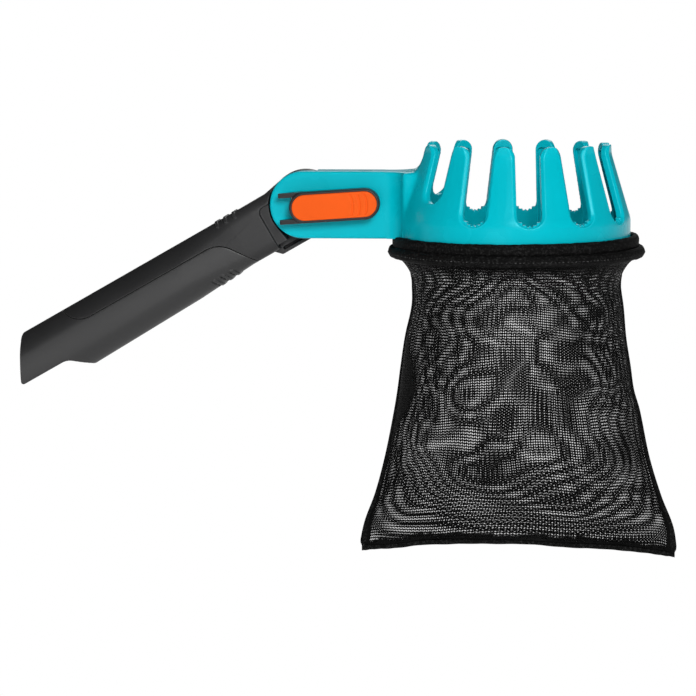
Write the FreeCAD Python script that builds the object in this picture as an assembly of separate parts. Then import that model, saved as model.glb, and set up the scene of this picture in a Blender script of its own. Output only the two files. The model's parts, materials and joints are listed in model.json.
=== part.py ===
import FreeCAD, Part
import math
import os

from FreeCAD import Vector

# A fruit collector that goes on the end of a pole: a ring of fingers with a net bag under it, carried by an
# arm that tilts on a handle with a socket for the pole, and is held by a clamp lever.
# X runs along the arm towards the ring of fingers, Z is up along the ring's axis, and the near side of the
# object, with the clamp lever, faces minus Y. Everything is worked out from the tilt pivot, and at the end
# moved so that the origin is the mouth of the pole socket, on its axis. Millimetres and degrees.

# How far a cut runs past the face that it opens
CUT_OVER = 2.0

# Two places nearer than this are one
SAME_PLACE = 1e-6

# Clearances
RUNNING_GAP = 0.05
SEAT_GAP = 0.1
SEAM_GAP = 0.25
SOFT_GAP = 0.3

# Crown: a ring with leaning fingers, divided evenly, with the arm in the place of one finger
CROWN_RADIUS = 70.0
CROWN_OFFSET = 126.7
BAND_HEIGHT = 21.0
FINGER_LENGTH = 45.9
FINGER_DEPTH = 4.6
FINGER_SKIN = 2.2
FINGER_FLANGE = 2.3
POCKET_MARGIN = 5.0
DIVISIONS = 13
LEAN = 17.0
BEND_DROP = 1.0
BEND_RADIUS = 20.0
TIP_BEND_RADIUS = 12.0
TIP_STRAIGHT = 4.0
TIP_CORNER = 6.2
SLOT_WIDTH = 14.5
SIDE_SLOT_RISE = 12.0
BEVEL_WIDTH = 3.2
BEVEL_DEPTH = 1.8
CROWN_FLANGE_REACH = 4.6
CROWN_FLANGE_THICK = 4.0
CROWN_FLANGE_EDGE = 1.2
SAW_TEETH = 5
SAW_DEPTH = 1.5
SAW_SPREAD = 116.0

# Arm: a box that is open below, with one cheek over the tilt joint
ARM_HEIGHT = 40.4
ARM_THICK = 26.0
ARM_EDGE = 1.6
ARM_WALL = 3.0
ARM_RIB = 2.2
ARM_RIBS = 2
ARM_BLEND = 10.0
ARM_SLOT_HALF = 13.0
ARM_GAP_HALF = 10.0

# Tilt joint: arm cheek in front, handle tongue behind, one clamp bolt through both
JOINT_SLIT = 1.0
TONGUE_RADIUS = 20.5
TONGUE_CLEAR = 1.0
SHOULDER_DROP = 26.0
SHOULDER_TOP = 11.0
SHOULDER_CORNER = 4.0
TILT_DOWN = 50.0
BOLT_RADIUS = 4.0
BOLT_END_MARGIN = 0.5
FRICTION_RING_OUTER = 18.4
FRICTION_RING_INNER = 9.5
TONGUE_WEB = 4.5
REAR_POCKET_RADIUS = 9.6
BUSH_WALL = 2.0
WASHER_RADIUS = 8.5
WASHER_THICK = 1.2
DISC_SPRING_RADIUS = 7.8
DISC_SPRING_THICK = 0.6
DISC_SPRING_CONE = 0.5
NUT_FLATS = 13.0
NUT_THICK = 4.4
CAP_RIM = 2.0
CAP_THICK = 1.4
CAP_DOME = 2.4
CAP_SKIRT = 1.2
CAP_SKIRT_DEPTH = 2.5

# Clamp lever: a tray with two cam prongs on a cross pin, and an inlay in its face
LEVER_SLOPE = 3.9
LEVER_PIN_X = -2.2
LEVER_PIN_Z = -1.1
LEVER_PIN_RADIUS = 2.0
PIN_HEIGHT = 6.5
CAM_RADIUS = 4.6
CAM_OFFSET = 1.8
LEVER_HALF_WIDTH = 9.3
LEVER_REACH = 49.0
LEVER_TAIL = 5.2
LEVER_FACE = 6.8
LEVER_UNDER = 3.2
LEVER_WALL = 1.8
LEVER_EDGE = 1.0
PRONG_THICK = 2.8
PRONG_REACH = 11.4
PRONG_DEPTH = 3.4
PRONG_TOP = 5.3
EYE_RADIUS = 4.0
EYE_CLEAR = 0.4
EYE_LENGTH = 10.0
INLAY_MARGIN = 1.5
INLAY_DEPTH = 1.3
INLAY_PROUD = 0.7
INLAY_EDGE = 0.8
INLAY_RIBS = 3
INLAY_RIB_PITCH = 4.2
INLAY_RIB_WIDTH = 1.2
INLAY_RIB_DEPTH = 0.5
INLAY_RIB_RADIUS = 16.0
INLAY_RIB_MARGIN = 5.5
SADDLE_LENGTH = 9.0
SADDLE_WIDTH = 17.0
SADDLE_THICK = 1.2

# Handle: hollow grip with the pole's socket, in two mouldings that meet on an S line
GRIP_SLOPE = 29.8
GRIP_LENGTH = 205.6
GRIP_TOP = 16.85
GRIP_FAR_DROP = 21.5
GRIP_MIDDLE = 84.0
GRIP_MIDDLE_DROP = 19.1
GRIP_NEAR_DROP = 16.4
GRIP_HALF_WIDTH = 16.5
GRIP_NECK_HALF_WIDTH = 13.0
GRIP_CORNER = 12.5
GRIP_NECK_CORNER = 7.0
NECK_TOP = 17.0
NECK_START = 24.0
NECK_FRONT = 10.0
NECK_RECESS = 3.0
NECK_FACE_DROP = 13.6
NECK_END = 44.0
TONGUE_FLANGE_DROP = 20.3
TONGUE_FLANGE_END = 27.0
TONGUE_FLANGE_WALL = 2.0
TONGUE_ROOT_INSET = 1.0
TONGUE_RAMP_START = 19.0
TONGUE_RAMP_END = 4.0
TONGUE_RAMP_TOP = 20.0
TONGUE_POCKET_START = 9.0
TONGUE_POCKET_WIDTH = 5.0
TONGUE_POCKET_DEPTH = 7.0
TROUGH_LENGTH = 42.0
TROUGH_SLOPE_LENGTH = 18.0
TROUGH_DROP = 10.7
TROUGH_ROUND = 9.0
NOSE_TOP_BACK = 16.0
NOSE_CORNER = 8.0
NOSE_TIP_ROUND = 1.6
BORE_RADIUS = 12.5
BORE_DROP = 2.2
SLEEVE_WALL = 1.8
SOCKET_START = 62.0
SOCKET_END = 163.0
SLEEVE_FLOOR = 3.0
SEAM_REAR = 163.6
SEAM_REAR_RUN = 9.0
SEAM_HEIGHT = 5.6
SEAM_FRONT = 56.0
SEAM_FRONT_RUN = 15.5
SEAM_ROUND = 16.0
GRIP_RIBS = 3
GRIP_RIB_START = 39.7
GRIP_RIB_PITCH = 6.0
GRIP_RIB_THICK = 1.8
GRIP_RIB_WRAP = 3.2
GRIP_RIB_RISE = 1.3
GRIP_NOTCH_START = 57.0
GRIP_NOTCH_LENGTH = 1.0
GRIP_NOTCH_DEPTH = 1.2
GRIP_NOTCH_TOP = 12.6
GRIP_NOTCH_MIDDLE = 7.0
GRIP_NOTCH_LEAN = 0.5
GRIP_RIDGE_LENGTH = 2.2
GRIP_RIDGE_RISE = 0.6

# Net bag: two panels sewn at the sides and below, hung from a hem round the crown
HEM_HEIGHT = 4.7
HEM_SEAT_GAP = 0.8
HEM_OUTER = 73.9
HEM_WALL = 0.9
HEM_CORD_RADIUS = 0.9
BAG_BULGE_RISE = 0.7
BAG_NECK_RADIUS = 63.2
BAG_NECK_DROP = 50.0
BAG_TOTAL_DROP = 211.5
BAG_FOOT_HALF_WIDTH = 94.0
BAG_FOOT_HALF_DEPTH = 1.7
BAG_SHIFT = 2.2
BAG_WALL = 1.2
BAG_WIDEN_POWER = 1.35
BAG_FLATTEN_POWER = 2.2
BAG_FLATTEN_SHARE = 0.8
BAG_SECTION_SHARES = (0.0, 0.16, 0.32, 0.48, 0.64, 0.78, 0.89, 0.96, 1.0)
BAG_BULGE_SHARES = ((0.22, 1.0), (0.5, 0.72), (0.78, 0.2))
SEAM_STRIP_WIDTH = 3.0
SEAM_STRIP_THICK = 1.8
FOOT_SEAM_HEIGHT = 4.0
FOOT_SEAM_THICK = 2.6

# Places that follow from the sizes
PITCH = 360.0 / DIVISIONS
ARM_TOP = ARM_HEIGHT / 2
HEM_TOP = ARM_TOP + SOFT_GAP
FOOT_Z = -(HEM_TOP + HEM_HEIGHT + HEM_SEAT_GAP + CROWN_FLANGE_THICK)
SLOT_Z = FOOT_Z + BAND_HEIGHT
TIP_Z = SLOT_Z + FINGER_LENGTH
NEAR_Y = -ARM_THICK / 2
FAR_Y = ARM_THICK / 2
CHEEK_Y = -JOINT_SLIT / 2
TONGUE_Y = JOINT_SLIT / 2
WEB_Y = TONGUE_Y + TONGUE_WEB
PIN_Y = NEAR_Y - PIN_HEIGHT
SLEEVE_RADIUS = BORE_RADIUS + SLEEVE_WALL
HEM_INNER = CROWN_RADIUS + SOFT_GAP
BAG_TOP_RADIUS = CROWN_RADIUS + CROWN_FLANGE_REACH + SOFT_GAP + BAG_WALL
BAG_BULGE_RADIUS = BAG_TOP_RADIUS + BAG_BULGE_RISE
WASHER_Y = WEB_Y + RUNNING_GAP
SPRING_Y = WASHER_Y + WASHER_THICK
NUT_Y = SPRING_Y + (DISC_SPRING_THICK + DISC_SPRING_CONE) * 2
BOLT_END_Y = NUT_Y + NUT_THICK + BOLT_END_MARGIN

PIVOT = Vector(0, 0, 0)
AXIS_Y = Vector(0, 1, 0)
AXIS_Z = Vector(0, 0, 1)
CROWN_AXIS = Vector(CROWN_OFFSET, 0, 0)


def save(node, shape):
    """Moves a finished piece from the pivot's frame to the socket's mouth and writes it."""
    placed = shape.copy()
    placed.translate(-SOCKET_MOUTH)
    placed.exportStep("parts/%s.step" % node)


def joined(shapes):
    """One solid from several that touch or overlap."""
    whole = shapes[0].fuse(shapes[1:])
    return whole.removeSplitter()


def box(x0, x1, y0, y1, z0, z1):
    return Part.makeBox(x1 - x0, y1 - y0, z1 - z0, Vector(x0, y0, z0))


def rod_y(radius, y0, y1, x=0.0, z=0.0):
    """A cylinder along Y."""
    return Part.makeCylinder(radius, y1 - y0, Vector(x, y0, z), AXIS_Y)


def rounded_edges(points, radii):
    """Edges of a closed outline with corners rounded by tangent arcs. A radius of zero keeps the corner."""
    count = len(points)
    starts, ends, middles = [], [], []
    for i, corner in enumerate(points):
        back = (points[i - 1] - corner).normalize()
        ahead = (points[(i + 1) % count] - corner).normalize()
        half = math.acos(max(-1.0, min(1.0, back.dot(ahead)))) / 2
        reach = radii[i] / math.tan(half)
        bisector = (back + ahead).normalize()
        centre = corner + bisector * (radii[i] / math.sin(half))
        starts.append(corner + back * reach)
        ends.append(corner + ahead * reach)
        middles.append(centre - bisector * radii[i])
    edges = []
    for i in range(count):
        if radii[i] > 0:
            edges.append(Part.Arc(starts[i], middles[i], ends[i]).toShape())
        following = starts[(i + 1) % count]
        if (following - ends[i]).Length > SAME_PLACE:
            edges.append(Part.LineSegment(ends[i], following).toShape())
    return edges


def rounded_face(points, radii):
    return Part.Face(Part.Wire(rounded_edges(points, radii)))


def side_prism(corners, radii, y0, y1):
    """A prism across Y from a side outline of (x, z) corners."""
    points = [Vector(x, y0, z) for x, z in corners]
    return rounded_face(points, radii).extrude(Vector(0, y1 - y0, 0))


def spun(face, axis_point=CROWN_AXIS):
    """The face turned right round the crown's axis."""
    return face.revolve(axis_point, AXIS_Z, 360.0)


def about_crown(shape, angle):
    turned = shape.copy()
    turned.rotate(CROWN_AXIS, AXIS_Z, angle)
    return turned


# Crown

def wall_line(depth):
    """Places of the crown wall's profile, a given depth inside its outer face, from foot to tips."""
    lean = math.radians(LEAN)
    bend_z = SLOT_Z - BEND_DROP
    low = BEND_RADIUS - depth
    high = TIP_BEND_RADIUS + depth
    low_centre = (CROWN_RADIUS - BEND_RADIUS, bend_z)
    line_height = TIP_Z - TIP_STRAIGHT - bend_z - (BEND_RADIUS + TIP_BEND_RADIUS) * math.sin(lean)
    run = line_height * math.tan(lean)
    bend_in = (BEND_RADIUS + TIP_BEND_RADIUS) * (1 - math.cos(lean))
    high_centre = (CROWN_RADIUS - bend_in - run + TIP_BEND_RADIUS, TIP_Z - TIP_STRAIGHT)

    def on_low(angle):
        x = low_centre[0] + low * math.cos(angle)
        return Vector(CROWN_OFFSET + x, 0, low_centre[1] + low * math.sin(angle))

    def on_high(angle):
        x = high_centre[0] - high * math.cos(angle)
        return Vector(CROWN_OFFSET + x, 0, high_centre[1] - high * math.sin(angle))

    tip = on_high(0.0)
    return {
        "bend": (on_low(0.0), on_low(lean / 2), on_low(lean)),
        "crook": (on_high(lean), on_high(lean / 2), tip),
        "tip": Vector(tip.x, 0, TIP_Z),
    }


def wall_edges(line, foot, top):
    """Edges up one profile line, from its foot to its top."""
    bend, crook = line["bend"], line["crook"]
    return [
        Part.LineSegment(foot, bend[0]).toShape(),
        Part.Arc(*bend).toShape(),
        Part.LineSegment(bend[2], crook[0]).toShape(),
        Part.Arc(*crook).toShape(),
        Part.LineSegment(crook[2], top).toShape(),
    ]


def band_between(outer_depth, inner_depth, foot_z, top_z):
    """The ring of material between two depths of the crown's wall."""
    outer, inner = wall_line(outer_depth), wall_line(inner_depth)
    outer_foot = Vector(outer["bend"][0].x, 0, foot_z)
    inner_foot = Vector(inner["bend"][0].x, 0, foot_z)
    outer_top = Vector(outer["crook"][2].x, 0, top_z)
    inner_top = Vector(inner["crook"][2].x, 0, top_z)
    edges = wall_edges(outer, outer_foot, outer_top)
    edges.append(Part.LineSegment(outer_top, inner_top).toShape())
    edges += wall_edges(inner, inner_foot, inner_top)
    edges.append(Part.LineSegment(inner_foot, outer_foot).toShape())
    return spun(Part.Face(Part.Wire(Part.__sortEdges__(edges))))


def radial_prism(edges):
    """A prism outwards from the crown's axis, from edges drawn in the plane across that axis."""
    face = Part.Face(Part.Wire(edges))
    prism = face.extrude(Vector(CROWN_RADIUS * 2, 0, 0))
    prism.translate(Vector(CROWN_OFFSET, 0, 0))
    return prism


def slot_outline(floor_z, toothed, half=SLOT_WIDTH / 2):
    """A slot between two fingers: a round floor with saw teeth, straight sides and rounded finger tips."""
    centre_z = floor_z + half
    top_z = TIP_Z + CUT_OVER
    wide = half + TIP_CORNER
    tip_centre_z = TIP_Z - TIP_CORNER
    side = math.sin(math.radians(45.0)) * TIP_CORNER

    def floor_point(angle, radius=half):
        turn = math.radians(angle)
        return Vector(0, radius * math.sin(turn), centre_z - radius * math.cos(turn))

    edges = []
    if toothed:
        step = SAW_SPREAD / SAW_TEETH
        first = -SAW_SPREAD / 2
        halfway = floor_point((first - 90.0) / 2)
        edges.append(Part.Arc(floor_point(-90.0), halfway, floor_point(first)).toShape())
        for i in range(SAW_TEETH):
            start = floor_point(first + i * step)
            point = floor_point(first + (i + 0.5) * step, half - SAW_DEPTH)
            end = floor_point(first + (i + 1) * step)
            edges.append(Part.LineSegment(start, point).toShape())
            edges.append(Part.LineSegment(point, end).toShape())
        halfway = floor_point((90.0 - first) / 2)
        edges.append(Part.Arc(floor_point(-first), halfway, floor_point(90.0)).toShape())
    else:
        edges.append(Part.Arc(floor_point(-90.0), floor_point(0.0), floor_point(90.0)).toShape())
    edges.append(Part.LineSegment(floor_point(90.0), Vector(0, half, tip_centre_z)).toShape())
    edges.append(
        Part.Arc(
            Vector(0, half, tip_centre_z),
            Vector(0, wide - side, tip_centre_z + side),
            Vector(0, wide, TIP_Z),
        ).toShape()
    )
    edges.append(Part.LineSegment(Vector(0, wide, TIP_Z), Vector(0, wide, top_z)).toShape())
    edges.append(Part.LineSegment(Vector(0, wide, top_z), Vector(0, -wide, top_z)).toShape())
    edges.append(Part.LineSegment(Vector(0, -wide, top_z), Vector(0, -wide, TIP_Z)).toShape())
    edges.append(
        Part.Arc(
            Vector(0, -wide, TIP_Z),
            Vector(0, -wide + side, tip_centre_z + side),
            Vector(0, -half, tip_centre_z),
        ).toShape()
    )
    edges.append(Part.LineSegment(Vector(0, -half, tip_centre_z), floor_point(-90.0)).toShape())
    return edges


def bevel_tool(floor_z):
    """A leaning tool that slopes the sides of a slot, less and less towards its floor."""
    lean = math.radians(LEAN)
    base = wall_line(0.0)["bend"][2]
    outward = Vector(math.cos(lean), 0, math.sin(lean))
    along = Vector(-math.sin(lean), 0, math.cos(lean))
    floor = (floor_z - base.z) / math.cos(lean)
    top = FINGER_LENGTH + BAND_HEIGHT

    def trough(half, depth):
        def place(y, t):
            return base + Vector(0, y, 0) + along * t - outward * depth

        middle = floor + half
        return Part.Wire(
            [
                Part.Arc(place(-half, middle), place(0, floor), place(half, middle)).toShape(),
                Part.LineSegment(place(half, middle), place(half, top)).toShape(),
                Part.LineSegment(place(half, top), place(-half, top)).toShape(),
                Part.LineSegment(place(-half, top), place(-half, middle)).toShape(),
            ]
        )

    narrow = SLOT_WIDTH / 2 - SEAT_GAP
    wide = narrow + BEVEL_WIDTH * (BEVEL_DEPTH + CUT_OVER) / BEVEL_DEPTH
    return Part.makeLoft([trough(narrow, BEVEL_DEPTH), trough(wide, -CUT_OVER)], True, True)


def finger_pocket(top_z):
    """The hollow back of one finger, as a prism outline that narrows with the finger."""
    share = math.pi / DIVISIONS
    base_half = CROWN_RADIUS * share - SLOT_WIDTH / 2 - FINGER_FLANGE
    tip_radius = wall_line(0.0)["tip"].x - CROWN_OFFSET
    tip_half = tip_radius * share - SLOT_WIDTH / 2 - FINGER_FLANGE
    foot_z = FOOT_Z + POCKET_MARGIN
    corners = [
        Vector(0, -base_half, foot_z),
        Vector(0, base_half, foot_z),
        Vector(0, base_half, SLOT_Z),
        Vector(0, tip_half, top_z),
        Vector(0, -tip_half, top_z),
        Vector(0, -base_half, SLOT_Z),
    ]
    round_top = tip_half / 2
    edges = rounded_edges(corners, [0, 0, 0, round_top, round_top, 0])
    return radial_prism(edges)


def crown_ring():
    """The moulded ring before the arm is added: wall, foot flange, slots, bevels and hollow fingers."""
    ring = band_between(0.0, FINGER_DEPTH, FOOT_Z, TIP_Z)
    flange_x = CROWN_OFFSET + CROWN_RADIUS
    flange_corners = [
        Vector(flange_x - FINGER_DEPTH / 2, 0, FOOT_Z),
        Vector(flange_x + CROWN_FLANGE_REACH, 0, FOOT_Z),
        Vector(flange_x + CROWN_FLANGE_REACH, 0, FOOT_Z + CROWN_FLANGE_THICK),
        Vector(flange_x - FINGER_DEPTH / 2, 0, FOOT_Z + CROWN_FLANGE_THICK),
    ]
    edge = CROWN_FLANGE_EDGE
    flange = spun(rounded_face(flange_corners, [0, edge, edge, 0]))
    ring = ring.fuse(flange).removeSplitter()
    tools = []
    slots = DIVISIONS // 2
    for k in range(-slots, slots + 1):
        if abs(k) < slots:
            floor_z = SLOT_Z + (SIDE_SLOT_RISE if abs(k) == slots - 1 else 0)
            slot = radial_prism(slot_outline(floor_z, abs(k) < slots - 1))
            tools.append(about_crown(bevel_tool(floor_z), k * PITCH))
        else:
            slot = radial_prism(slot_outline(ARM_TOP, False, ARM_SLOT_HALF))
            slot.translate(Vector(0, math.copysign(ARM_SLOT_HALF - SLOT_WIDTH / 2, k), 0))
        tools.append(about_crown(slot, k * PITCH))
    gap_start = CROWN_OFFSET - CROWN_RADIUS * 2
    tools.append(box(gap_start, CROWN_OFFSET, -ARM_GAP_HALF, ARM_GAP_HALF, ARM_TOP, TIP_Z + CUT_OVER))
    for tool in tools:
        ring = ring.cut(tool)
    hollow = band_between(FINGER_SKIN, FINGER_DEPTH + CUT_OVER, FOOT_Z, TIP_Z)
    pockets = []
    for k in range(DIVISIONS - 1):
        angle = (k - slots + 0.5) * PITCH
        pockets.append(about_crown(finger_pocket(TIP_Z - POCKET_MARGIN), angle))
    return ring.cut(hollow.common(Part.makeCompound(pockets)))


def arm_outline(x_end):
    """Side outline of the arm: round at the pivot, straight to the crown."""
    half = ARM_TOP
    lower = Vector(0, NEAR_Y, -half)
    left = Vector(-half, NEAR_Y, 0)
    upper = Vector(0, NEAR_Y, half)
    return [
        Part.Arc(lower, left, upper).toShape(),
        Part.LineSegment(upper, Vector(x_end, NEAR_Y, half)).toShape(),
        Part.LineSegment(Vector(x_end, NEAR_Y, half), Vector(x_end, NEAR_Y, -half)).toShape(),
        Part.LineSegment(Vector(x_end, NEAR_Y, -half), lower).toShape(),
    ]


def arm_blend(side):
    """The hollow-cornered web that carries one side of the arm into the ring."""
    reach = CROWN_RADIUS + ARM_BLEND
    across = -NEAR_Y + ARM_BLEND
    centre = Vector(CROWN_OFFSET - math.sqrt(reach * reach - across * across), side * across, 0)
    tip_radius = wall_line(0.0)["tip"].x - CROWN_OFFSET
    x_end = CROWN_OFFSET - tip_radius * math.cos(math.radians(PITCH))
    low_y, high_y = sorted([side * -NEAR_Y * 0.5, side * across])
    block = box(centre.x, x_end, low_y, high_y, -ARM_TOP, ARM_TOP)
    hole = Part.makeCylinder(ARM_BLEND, ARM_HEIGHT * 2, Vector(centre.x, centre.y, -ARM_HEIGHT), AXIS_Z)
    return block.cut(hole)


def crown_and_arm():
    """Ring, fingers and arm are one moulding."""
    tip_radius = wall_line(0.0)["tip"].x - CROWN_OFFSET
    x_end = CROWN_OFFSET - tip_radius * math.cos(math.radians(PITCH))
    arm = Part.Face(Part.Wire(arm_outline(x_end))).extrude(Vector(0, ARM_THICK, 0))
    flat_edges = [e for e in arm.Edges if abs(e.BoundBox.YLength) < CUT_OVER]
    rims = [e for e in flat_edges if e.BoundBox.XMin < x_end - ARM_WALL]
    arm = arm.makeFillet(ARM_EDGE, rims)
    reach = TONGUE_RADIUS + TONGUE_CLEAR
    relief = rod_y(reach, CHEEK_Y, FAR_Y + CUT_OVER)
    relief = relief.fuse(
        [
            box(-TONGUE_RADIUS * 2, 0, CHEEK_Y, FAR_Y + CUT_OVER, 0, ARM_HEIGHT),
            box(-TONGUE_RADIUS * 2, reach, CHEEK_Y, FAR_Y + CUT_OVER, -ARM_HEIGHT, 0),
        ]
    )
    arm = arm.cut(relief)
    pocket_start = reach + ARM_WALL
    pocket_end = CROWN_OFFSET - CROWN_RADIUS
    hollow = box(
        pocket_start,
        pocket_end,
        NEAR_Y + ARM_WALL,
        FAR_Y - ARM_WALL,
        -ARM_TOP - CUT_OVER,
        ARM_TOP - ARM_WALL,
    )
    spacing = (pocket_end - pocket_start) / (ARM_RIBS + 1)
    for i in range(ARM_RIBS):
        x = pocket_start + spacing * (i + 1) - ARM_RIB / 2
        hollow = hollow.cut(box(x, x + ARM_RIB, NEAR_Y, FAR_Y, -ARM_TOP + ARM_WALL, ARM_TOP))
    blends = [arm_blend(side) for side in (-1, 1)]
    inside = band_core()
    arm = arm.fuse(blends).cut(hollow).cut(inside)
    whole = joined([crown_ring(), arm])
    whole = whole.cut(rod_y(BOLT_RADIUS + SEAT_GAP, NEAR_Y - CUT_OVER, CHEEK_Y + CUT_OVER))
    return whole.cut(lever_turned(saddle_block(SEAT_GAP)))


def band_core():
    """All the space inside the crown's wall."""
    inner = wall_line(FINGER_DEPTH / 2)
    foot = Vector(inner["bend"][0].x, 0, FOOT_Z - CUT_OVER)
    top = Vector(inner["crook"][2].x, 0, TIP_Z + CUT_OVER)
    edges = wall_edges(inner, foot, top)
    on_axis_top = Vector(CROWN_OFFSET, 0, top.z)
    on_axis_foot = Vector(CROWN_OFFSET, 0, foot.z)
    edges.append(Part.LineSegment(top, on_axis_top).toShape())
    edges.append(Part.LineSegment(on_axis_top, on_axis_foot).toShape())
    edges.append(Part.LineSegment(on_axis_foot, foot).toShape())
    return spun(Part.Face(Part.Wire(edges)))


# Clamp lever, drawn level about its pin and then turned to its slope

def lever_turned(shape):
    turned = shape.copy()
    turned.translate(Vector(LEVER_PIN_X, PIN_Y, LEVER_PIN_Z))
    turned.rotate(Vector(LEVER_PIN_X, PIN_Y, LEVER_PIN_Z), AXIS_Y, -LEVER_SLOPE)
    return turned


def capsule(margin, y0, y1):
    """The lever's long rounded outline, a margin inside its edge."""
    half = LEVER_HALF_WIDTH - margin
    x0 = -LEVER_TAIL + margin + half
    x1 = LEVER_REACH - margin - half
    edges = [
        Part.LineSegment(Vector(x0, y0, half), Vector(x1, y0, half)).toShape(),
        Part.Arc(Vector(x1, y0, half), Vector(x1 + half, y0, 0), Vector(x1, y0, -half)).toShape(),
        Part.LineSegment(Vector(x1, y0, -half), Vector(x0, y0, -half)).toShape(),
        Part.Arc(Vector(x0, y0, -half), Vector(x0 - half, y0, 0), Vector(x0, y0, half)).toShape(),
    ]
    return Part.Face(Part.Wire(edges)).extrude(Vector(0, y1 - y0, 0))


def at_level(shape, y):
    """Edges of a shape that lie flat at one depth."""
    near = RUNNING_GAP
    return [e for e in shape.Edges if abs(e.BoundBox.YMin - y) < near and abs(e.BoundBox.YMax - y) < near]


def lever_frame():
    tray = capsule(0.0, -LEVER_FACE, LEVER_UNDER)
    tray = tray.makeFillet(LEVER_EDGE, at_level(tray, -LEVER_FACE))
    tray = tray.cut(capsule(INLAY_MARGIN, -LEVER_FACE - CUT_OVER, -LEVER_FACE + INLAY_DEPTH))
    ceiling = -(EYE_RADIUS + EYE_CLEAR)
    tray = tray.cut(capsule(LEVER_WALL, ceiling, LEVER_UNDER + CUT_OVER))
    tail = -LEVER_TAIL - CUT_OVER
    tray = tray.cut(box(tail, 0, ceiling, LEVER_UNDER + CUT_OVER, -EYE_LENGTH, EYE_LENGTH))
    solids = [tray]
    inner = LEVER_HALF_WIDTH - PRONG_THICK
    for side in (-1, 1):
        z0, z1 = sorted([side * inner, side * LEVER_HALF_WIDTH])
        corners = [
            Vector(-PRONG_REACH, -PRONG_TOP, z0),
            Vector(LEVER_HALF_WIDTH, -PRONG_TOP, z0),
            Vector(LEVER_HALF_WIDTH, LEVER_UNDER, z0),
            Vector(-CAM_RADIUS / 2, LEVER_UNDER, z0),
            Vector(-PRONG_REACH, -PRONG_TOP + PRONG_DEPTH, z0),
        ]
        tip = PRONG_DEPTH / 3
        prong = rounded_face(corners, [tip, 0, 0, 0, tip]).extrude(Vector(0, 0, z1 - z0))
        cam = Part.makeCylinder(CAM_RADIUS, z1 - z0, Vector(0, CAM_OFFSET, z0), AXIS_Z)
        solids += [prong, cam]
    frame = joined(solids)
    bore = Part.makeCylinder(
        LEVER_PIN_RADIUS + RUNNING_GAP, LEVER_HALF_WIDTH * 4, Vector(0, 0, -LEVER_HALF_WIDTH * 2), AXIS_Z
    )
    return lever_turned(frame.cut(bore))


def lever_inlay():
    y0 = -LEVER_FACE - INLAY_PROUD
    plate = capsule(INLAY_MARGIN + SEAT_GAP, y0, -LEVER_FACE + INLAY_DEPTH)
    plate = plate.makeFillet(INLAY_EDGE, at_level(plate, y0))
    end = LEVER_REACH - INLAY_MARGIN
    for i in range(INLAY_RIBS):
        x = end - INLAY_RIB_MARGIN - i * INLAY_RIB_PITCH
        centre = Vector(x - INLAY_RIB_RADIUS, y0 - CUT_OVER, 0)
        deep = CUT_OVER + INLAY_RIB_DEPTH
        outer = Part.makeCylinder(INLAY_RIB_RADIUS, deep, centre, AXIS_Y)
        inner = Part.makeCylinder(INLAY_RIB_RADIUS - INLAY_RIB_WIDTH, deep, centre, AXIS_Y)
        groove = outer.cut(inner)
        half = LEVER_HALF_WIDTH - INLAY_MARGIN * 2
        window = box(x - INLAY_RIB_RADIUS / 2, x + CUT_OVER, y0 - CUT_OVER, 0, -half, half)
        plate = plate.cut(groove.common(window))
    return lever_turned(plate)


def lever_pin():
    half = LEVER_HALF_WIDTH
    return lever_turned(Part.makeCylinder(LEVER_PIN_RADIUS, half * 2, Vector(0, 0, -half), AXIS_Z))


def saddle_block(grow):
    """The wear plate under the cams, or with some growth the seat cut for it."""
    half_x = SADDLE_LENGTH / 2 + grow
    half_z = SADDLE_WIDTH / 2 + grow
    face = PIN_HEIGHT - CUT_OVER * (grow > 0)
    return box(-half_x, half_x, face, PIN_HEIGHT + SADDLE_THICK, -half_z, half_z)


def cam_saddle():
    plate = lever_turned(saddle_block(0.0))
    return plate.cut(rod_y(BOLT_RADIUS + SEAT_GAP, PIN_Y, NEAR_Y + SADDLE_THICK * 2))


# Bolt and what is on it

def clamp_bolt():
    shank = rod_y(BOLT_RADIUS, PIN_Y, BOLT_END_Y)
    eye = Part.makeCylinder(EYE_RADIUS, EYE_LENGTH, Vector(0, 0, -EYE_LENGTH / 2), AXIS_Z)
    hole_radius = LEVER_PIN_RADIUS + RUNNING_GAP
    hole = Part.makeCylinder(hole_radius, EYE_LENGTH * 2, Vector(0, 0, -EYE_LENGTH), AXIS_Z)
    return joined([shank, lever_turned(eye)]).cut(lever_turned(hole))


def ring_y(outer, inner, y0, y1):
    return rod_y(outer, y0, y1).cut(rod_y(inner, y0 - CUT_OVER, y1 + CUT_OVER))


def thrust_washer():
    return ring_y(WASHER_RADIUS, BOLT_RADIUS + SEAT_GAP, WASHER_Y, SPRING_Y)


def disc_springs():
    """Two cone washers, rim to rim."""
    inner = BOLT_RADIUS + SEAT_GAP
    outer = DISC_SPRING_RADIUS
    thick, cone = DISC_SPRING_THICK, DISC_SPRING_CONE
    corners = [
        Vector(inner, SPRING_Y, 0),
        Vector(outer, SPRING_Y + cone, 0),
        Vector(outer, SPRING_Y + cone + thick, 0),
        Vector(inner, SPRING_Y + thick, 0),
    ]
    first = Part.Face(Part.makePolygon(corners + corners[:1])).revolve(PIVOT, AXIS_Y, 360.0)
    second = first.mirror(Vector(0, SPRING_Y + cone + thick, 0), AXIS_Y)
    return Part.makeCompound([first, second])


def hexagon(flats, y0, y1):
    corner = flats / 2 / math.cos(math.radians(30.0))
    points = [
        Vector(corner * math.cos(math.radians(60.0 * i)), y0, corner * math.sin(math.radians(60.0 * i)))
        for i in range(6)
    ]
    return Part.Face(Part.makePolygon(points + points[:1])).extrude(Vector(0, y1 - y0, 0))


def lock_nut():
    body = hexagon(NUT_FLATS, NUT_Y, NUT_Y + NUT_THICK)
    return body.cut(rod_y(BOLT_RADIUS + RUNNING_GAP, NUT_Y - CUT_OVER, NUT_Y + NUT_THICK + CUT_OVER))


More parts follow.
